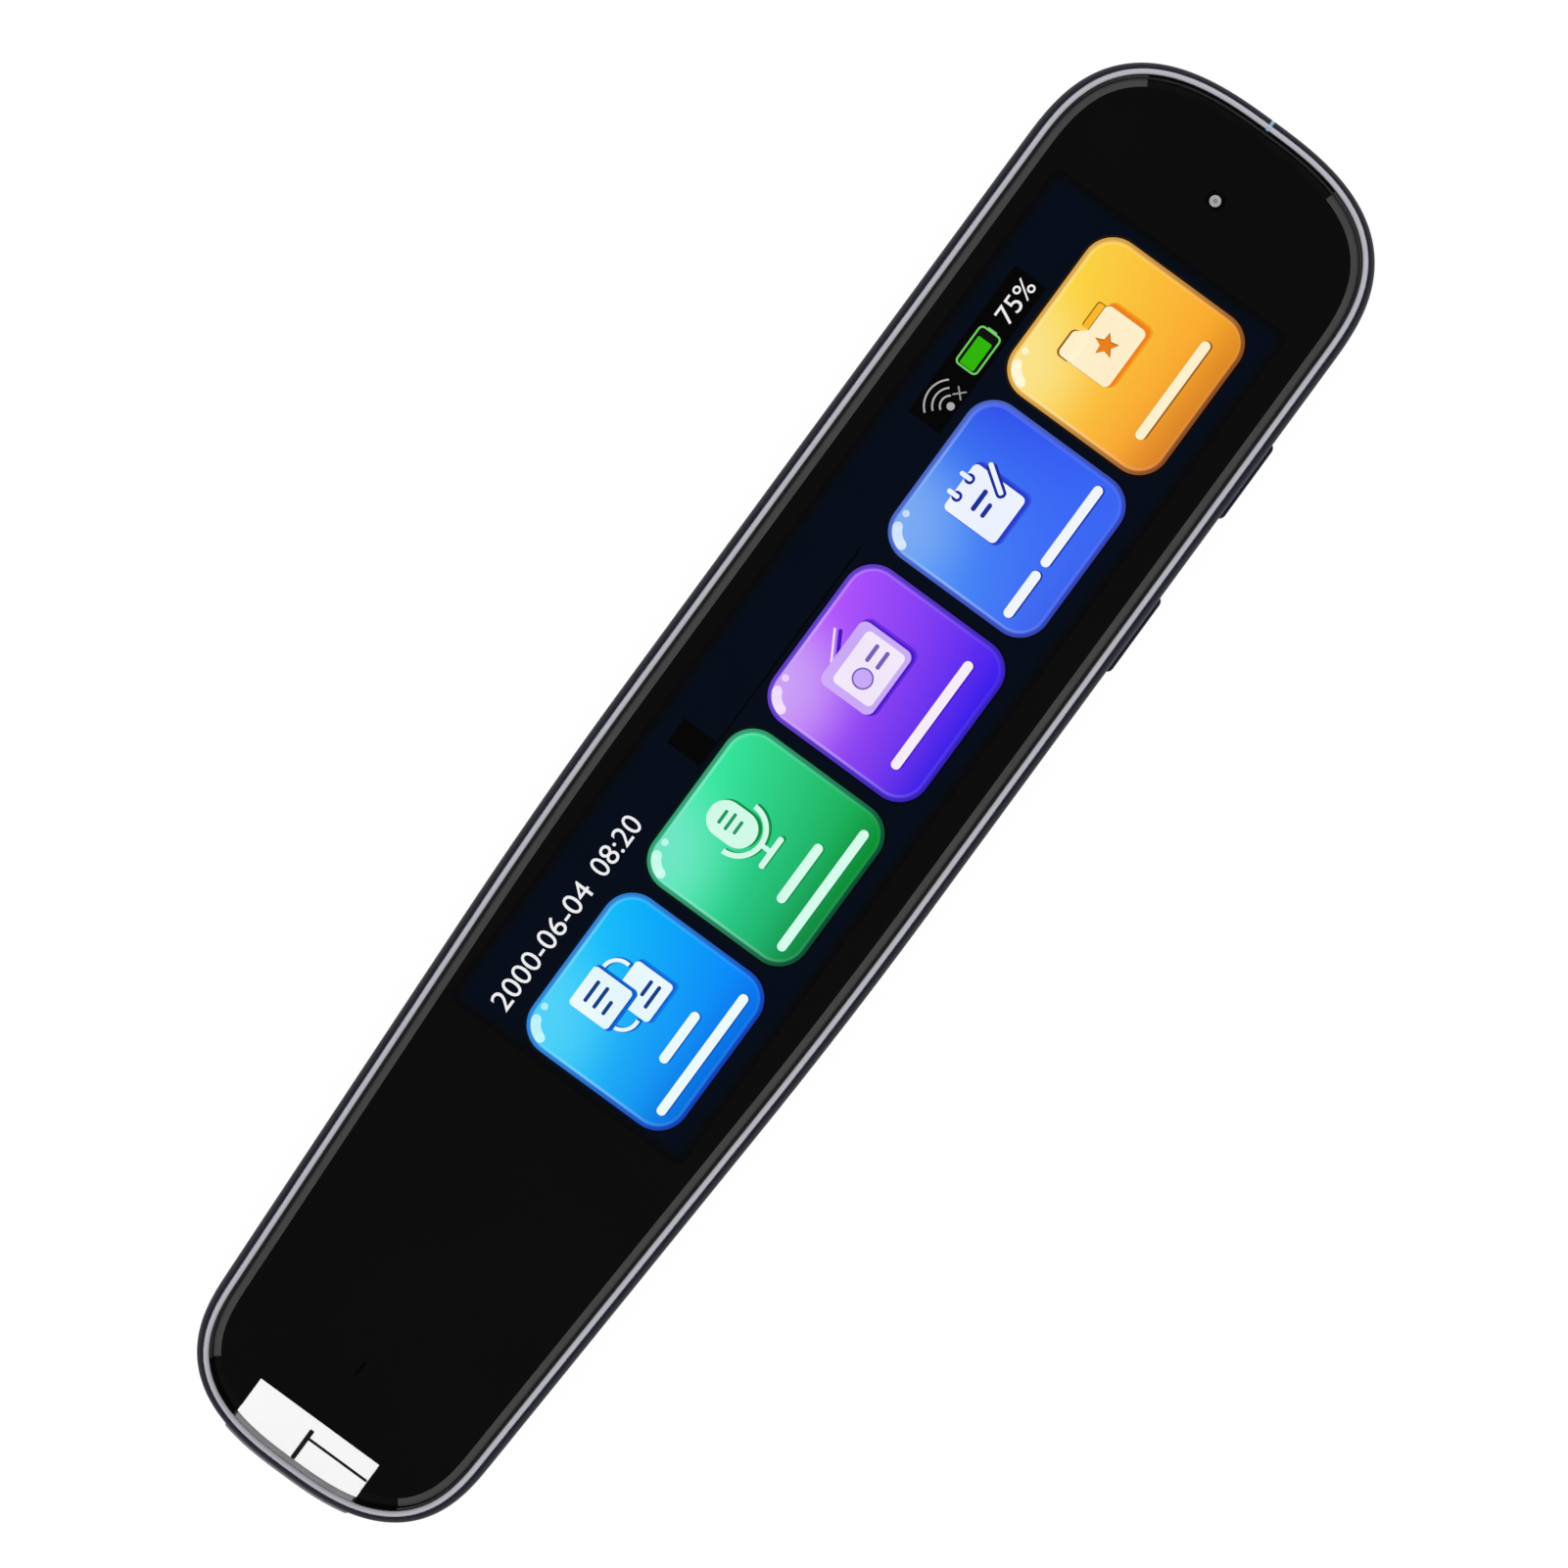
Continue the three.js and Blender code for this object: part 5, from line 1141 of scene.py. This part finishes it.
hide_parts("status_light_pipe")

# The pieces inside keep their shapes from the frame, and each gets the finish of its own material:
# rolled and tinned steel, resin boards, moulded packages, foam and rubber, foil, wire and clear plastic.


def finish_nodes(finish, *names):
    for name in names:
        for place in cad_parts[name].material_slots:
            place.material = finish


finish_nodes(grain_finish("rolled_steel", (0.42, 0.42, 0.44), (0.56, 0.56, 0.58), 0.3, 0.45, 2500, 0.004, 1),
             "chassis_plate", "scan_bracket")
finish_nodes(grain_finish("plated_steel", (0.34, 0.34, 0.36), (0.48, 0.48, 0.5), 0.25, 0.4, 5000, 0.004, 1),
             *(f"chassis_screw_{i}" for i in range(1, 7)))
finish_nodes(grain_finish("tinned_steel", (0.52, 0.52, 0.53), (0.66, 0.66, 0.66), 0.28, 0.5, 3500, 0.006, 1),
             "microphone", "upper_key_switch", "lower_key_switch", "processor_shield", "radio_shield")
finish_nodes(grain_finish("black_rubber", (0.01, 0.01, 0.01), (0.018, 0.018, 0.018), 0.7, 0.85, specular=0.2),
             "display_foam", "mic_boot", "battery_tape", "speaker_gasket")
finish_nodes(grain_finish("board_resin", (0.008, 0.05, 0.022), (0.014, 0.085, 0.038), 0.35, 0.55, 2500, 0.01),
             "side_key_board", "scan_board", "main_board")
finish_nodes(grain_finish("package_black", (0.01, 0.01, 0.011), (0.02, 0.02, 0.022), 0.45, 0.6, bump=0.012),
             "trigger_switch", "image_sensor", "memory_chip", "camera_holder", "lens_barrel", "speaker",
             "upper_key_plunger", "lower_key_plunger", "usb_tongue")
finish_nodes(grain_finish("white_moulding", (0.72, 0.72, 0.68), (0.84, 0.84, 0.8), 0.35, 0.5, bump=0.008),
             "status_led", "trigger_plunger", "scan_led_left", "scan_led_right", "battery_connector")
finish_nodes(grain_finish("panel_face", (0.003, 0.005, 0.01), (0.006, 0.009, 0.016), 0.1, 0.2, 2000, 0.001),
             "display_panel")
finish_nodes(grain_finish("diffuser_sheet", (0.8, 0.8, 0.8), (0.88, 0.88, 0.88), 0.5, 0.65, bump=0.004),
             "backlight_unit")
finish_nodes(grain_finish("amber_film", (0.36, 0.17, 0.02), (0.5, 0.26, 0.04), 0.3, 0.45, 3000, 0.004),
             "display_flex", "scan_flex")
finish_nodes(grain_finish("battery_foil", (0.035, 0.042, 0.05), (0.06, 0.068, 0.08), 0.35, 0.5, 1800),
             "battery")
finish_nodes(grain_finish("red_wire", (0.3, 0.012, 0.01), (0.42, 0.02, 0.016), 0.4, 0.55, bump=0.006),
             "battery_lead_red")
finish_nodes(grain_finish("black_wire", (0.008, 0.008, 0.008), (0.014, 0.014, 0.014), 0.4, 0.55, bump=0.006),
             "battery_lead_black")
finish_nodes(grain_finish("clear_acrylic", (0.82, 0.86, 0.88), (0.9, 0.93, 0.95), 0.04, 0.1, 2000, 0.0001,
                          fixed={"Transmission Weight": 1, "IOR": 1.49}),
             "scan_window", "camera_lens", "light_guide_left", "light_guide_right")

# Studio: a pale floor, a room that is white near the ground and dark overhead, and a long soft box on each
# side of the pen. The dark ceiling keeps the flat glass black, as in the photograph.
floor = new_piece("floor", bpy.ops.mesh.primitive_plane_add, size=6, location=(0, 0, 0))
floor_white = bpy.data.materials.new("floor_white")
floor_white.use_nodes = True
tree = floor_white.node_tree
tree.nodes.remove(tree.nodes["Principled BSDF"])


def seen_rays(tree):
    """Whether a ray comes from a mirror, and whether it comes from a mirror, glass or the camera."""
    rays = add_node(tree, "ShaderNodeLightPath").outputs
    first = calculate(tree, "MAXIMUM", rays["Is Camera Ray"], rays["Is Glossy Ray"])
    return rays["Is Glossy Ray"], calculate(tree, "MAXIMUM", first, rays["Is Transmission Ray"])


glossy, seen = seen_rays(tree)
place = add_node(tree, "ShaderNodeTexCoord").outputs["Object"]
along = split_place(tree, place)["Y"]
# Painted shade: near the tip the floor is darker in reflections only, which darkens the frame's reflection
# there.
tip_shade = map_range(tree, along, -0.11, -0.07, 0.62, 1, "SMOOTHSTEP")
glow_level = calculate(tree, "MULTIPLY", mix_values(tree, glossy, 1, tip_shade), 1.12)
bright = add_node(tree, "ShaderNodeEmission", inputs={"Color": (1, 1, 1, 1), "Strength": glow_level})
matte = add_node(tree, "ShaderNodeBsdfDiffuse", inputs={"Color": (0.9, 0.9, 0.9, 1)})
blend = add_node(tree, "ShaderNodeMixShader", inputs={0: calculate(tree, "MULTIPLY", seen, 0.8),
                                                      1: matte.outputs[0], 2: bright.outputs[0]})
tree.links.new(blend.outputs[0], tree.nodes["Material Output"].inputs["Surface"])
wear(floor, floor_white)

room = bpy.data.worlds.new("room")
bpy.context.scene.world = room
room.use_nodes = True
tree = room.node_tree
sky = tree.nodes["Background"]
sky.inputs["Color"].default_value = (1, 1, 1, 1)
glossy, seen = seen_rays(tree)
way = add_node(tree, "ShaderNodeTexCoord").outputs["Generated"]
height = split_place(tree, way)["Z"]
dark_above = map_range(tree, height, 0, 0.45, 1, 0.05, "SMOOTHSTEP")
strength = calculate(tree, "MULTIPLY", mix_values(tree, seen, 0.38, 1.0),
                     mix_values(tree, glossy, 1, dark_above))
tree.links.new(strength, sky.inputs["Strength"])

soft_box_side, soft_box_height, soft_box_lean = 0.62, 0.74, math.radians(40)
for word, sign in (("left", -1), ("right", 1)):
    bpy.ops.object.light_add(type="AREA", location=(sign * soft_box_side, 0, soft_box_height),
                             rotation=(0, sign * soft_box_lean, 0))
    soft_box = bpy.context.object
    soft_box.name = "soft_box_" + word
    soft_box.data.shape = "RECTANGLE"
    soft_box.data.size, soft_box.data.size_y = 0.5, 2.6
    soft_box.data.energy = 7.6
    soft_box.visible_camera = False
    soft_box.visible_glossy = False

# Camera: straight above with a very long lens, turned so that the wide end points to the upper right
view_lens, sensor = 1200, 36
seen_width = 140.25 * mm
bpy.ops.object.camera_add(location=(-0.277 * mm, 1.25 * mm, 11 * mm + seen_width * view_lens / sensor),
                          rotation=(0, 0, math.radians(36.25)))
camera = bpy.context.object
camera.data.lens, camera.data.sensor_width = view_lens, sensor
camera.data.clip_start, camera.data.clip_end = 0.1, 20
bpy.context.scene.camera = camera
bpy.context.scene.view_settings.view_transform = "Standard"
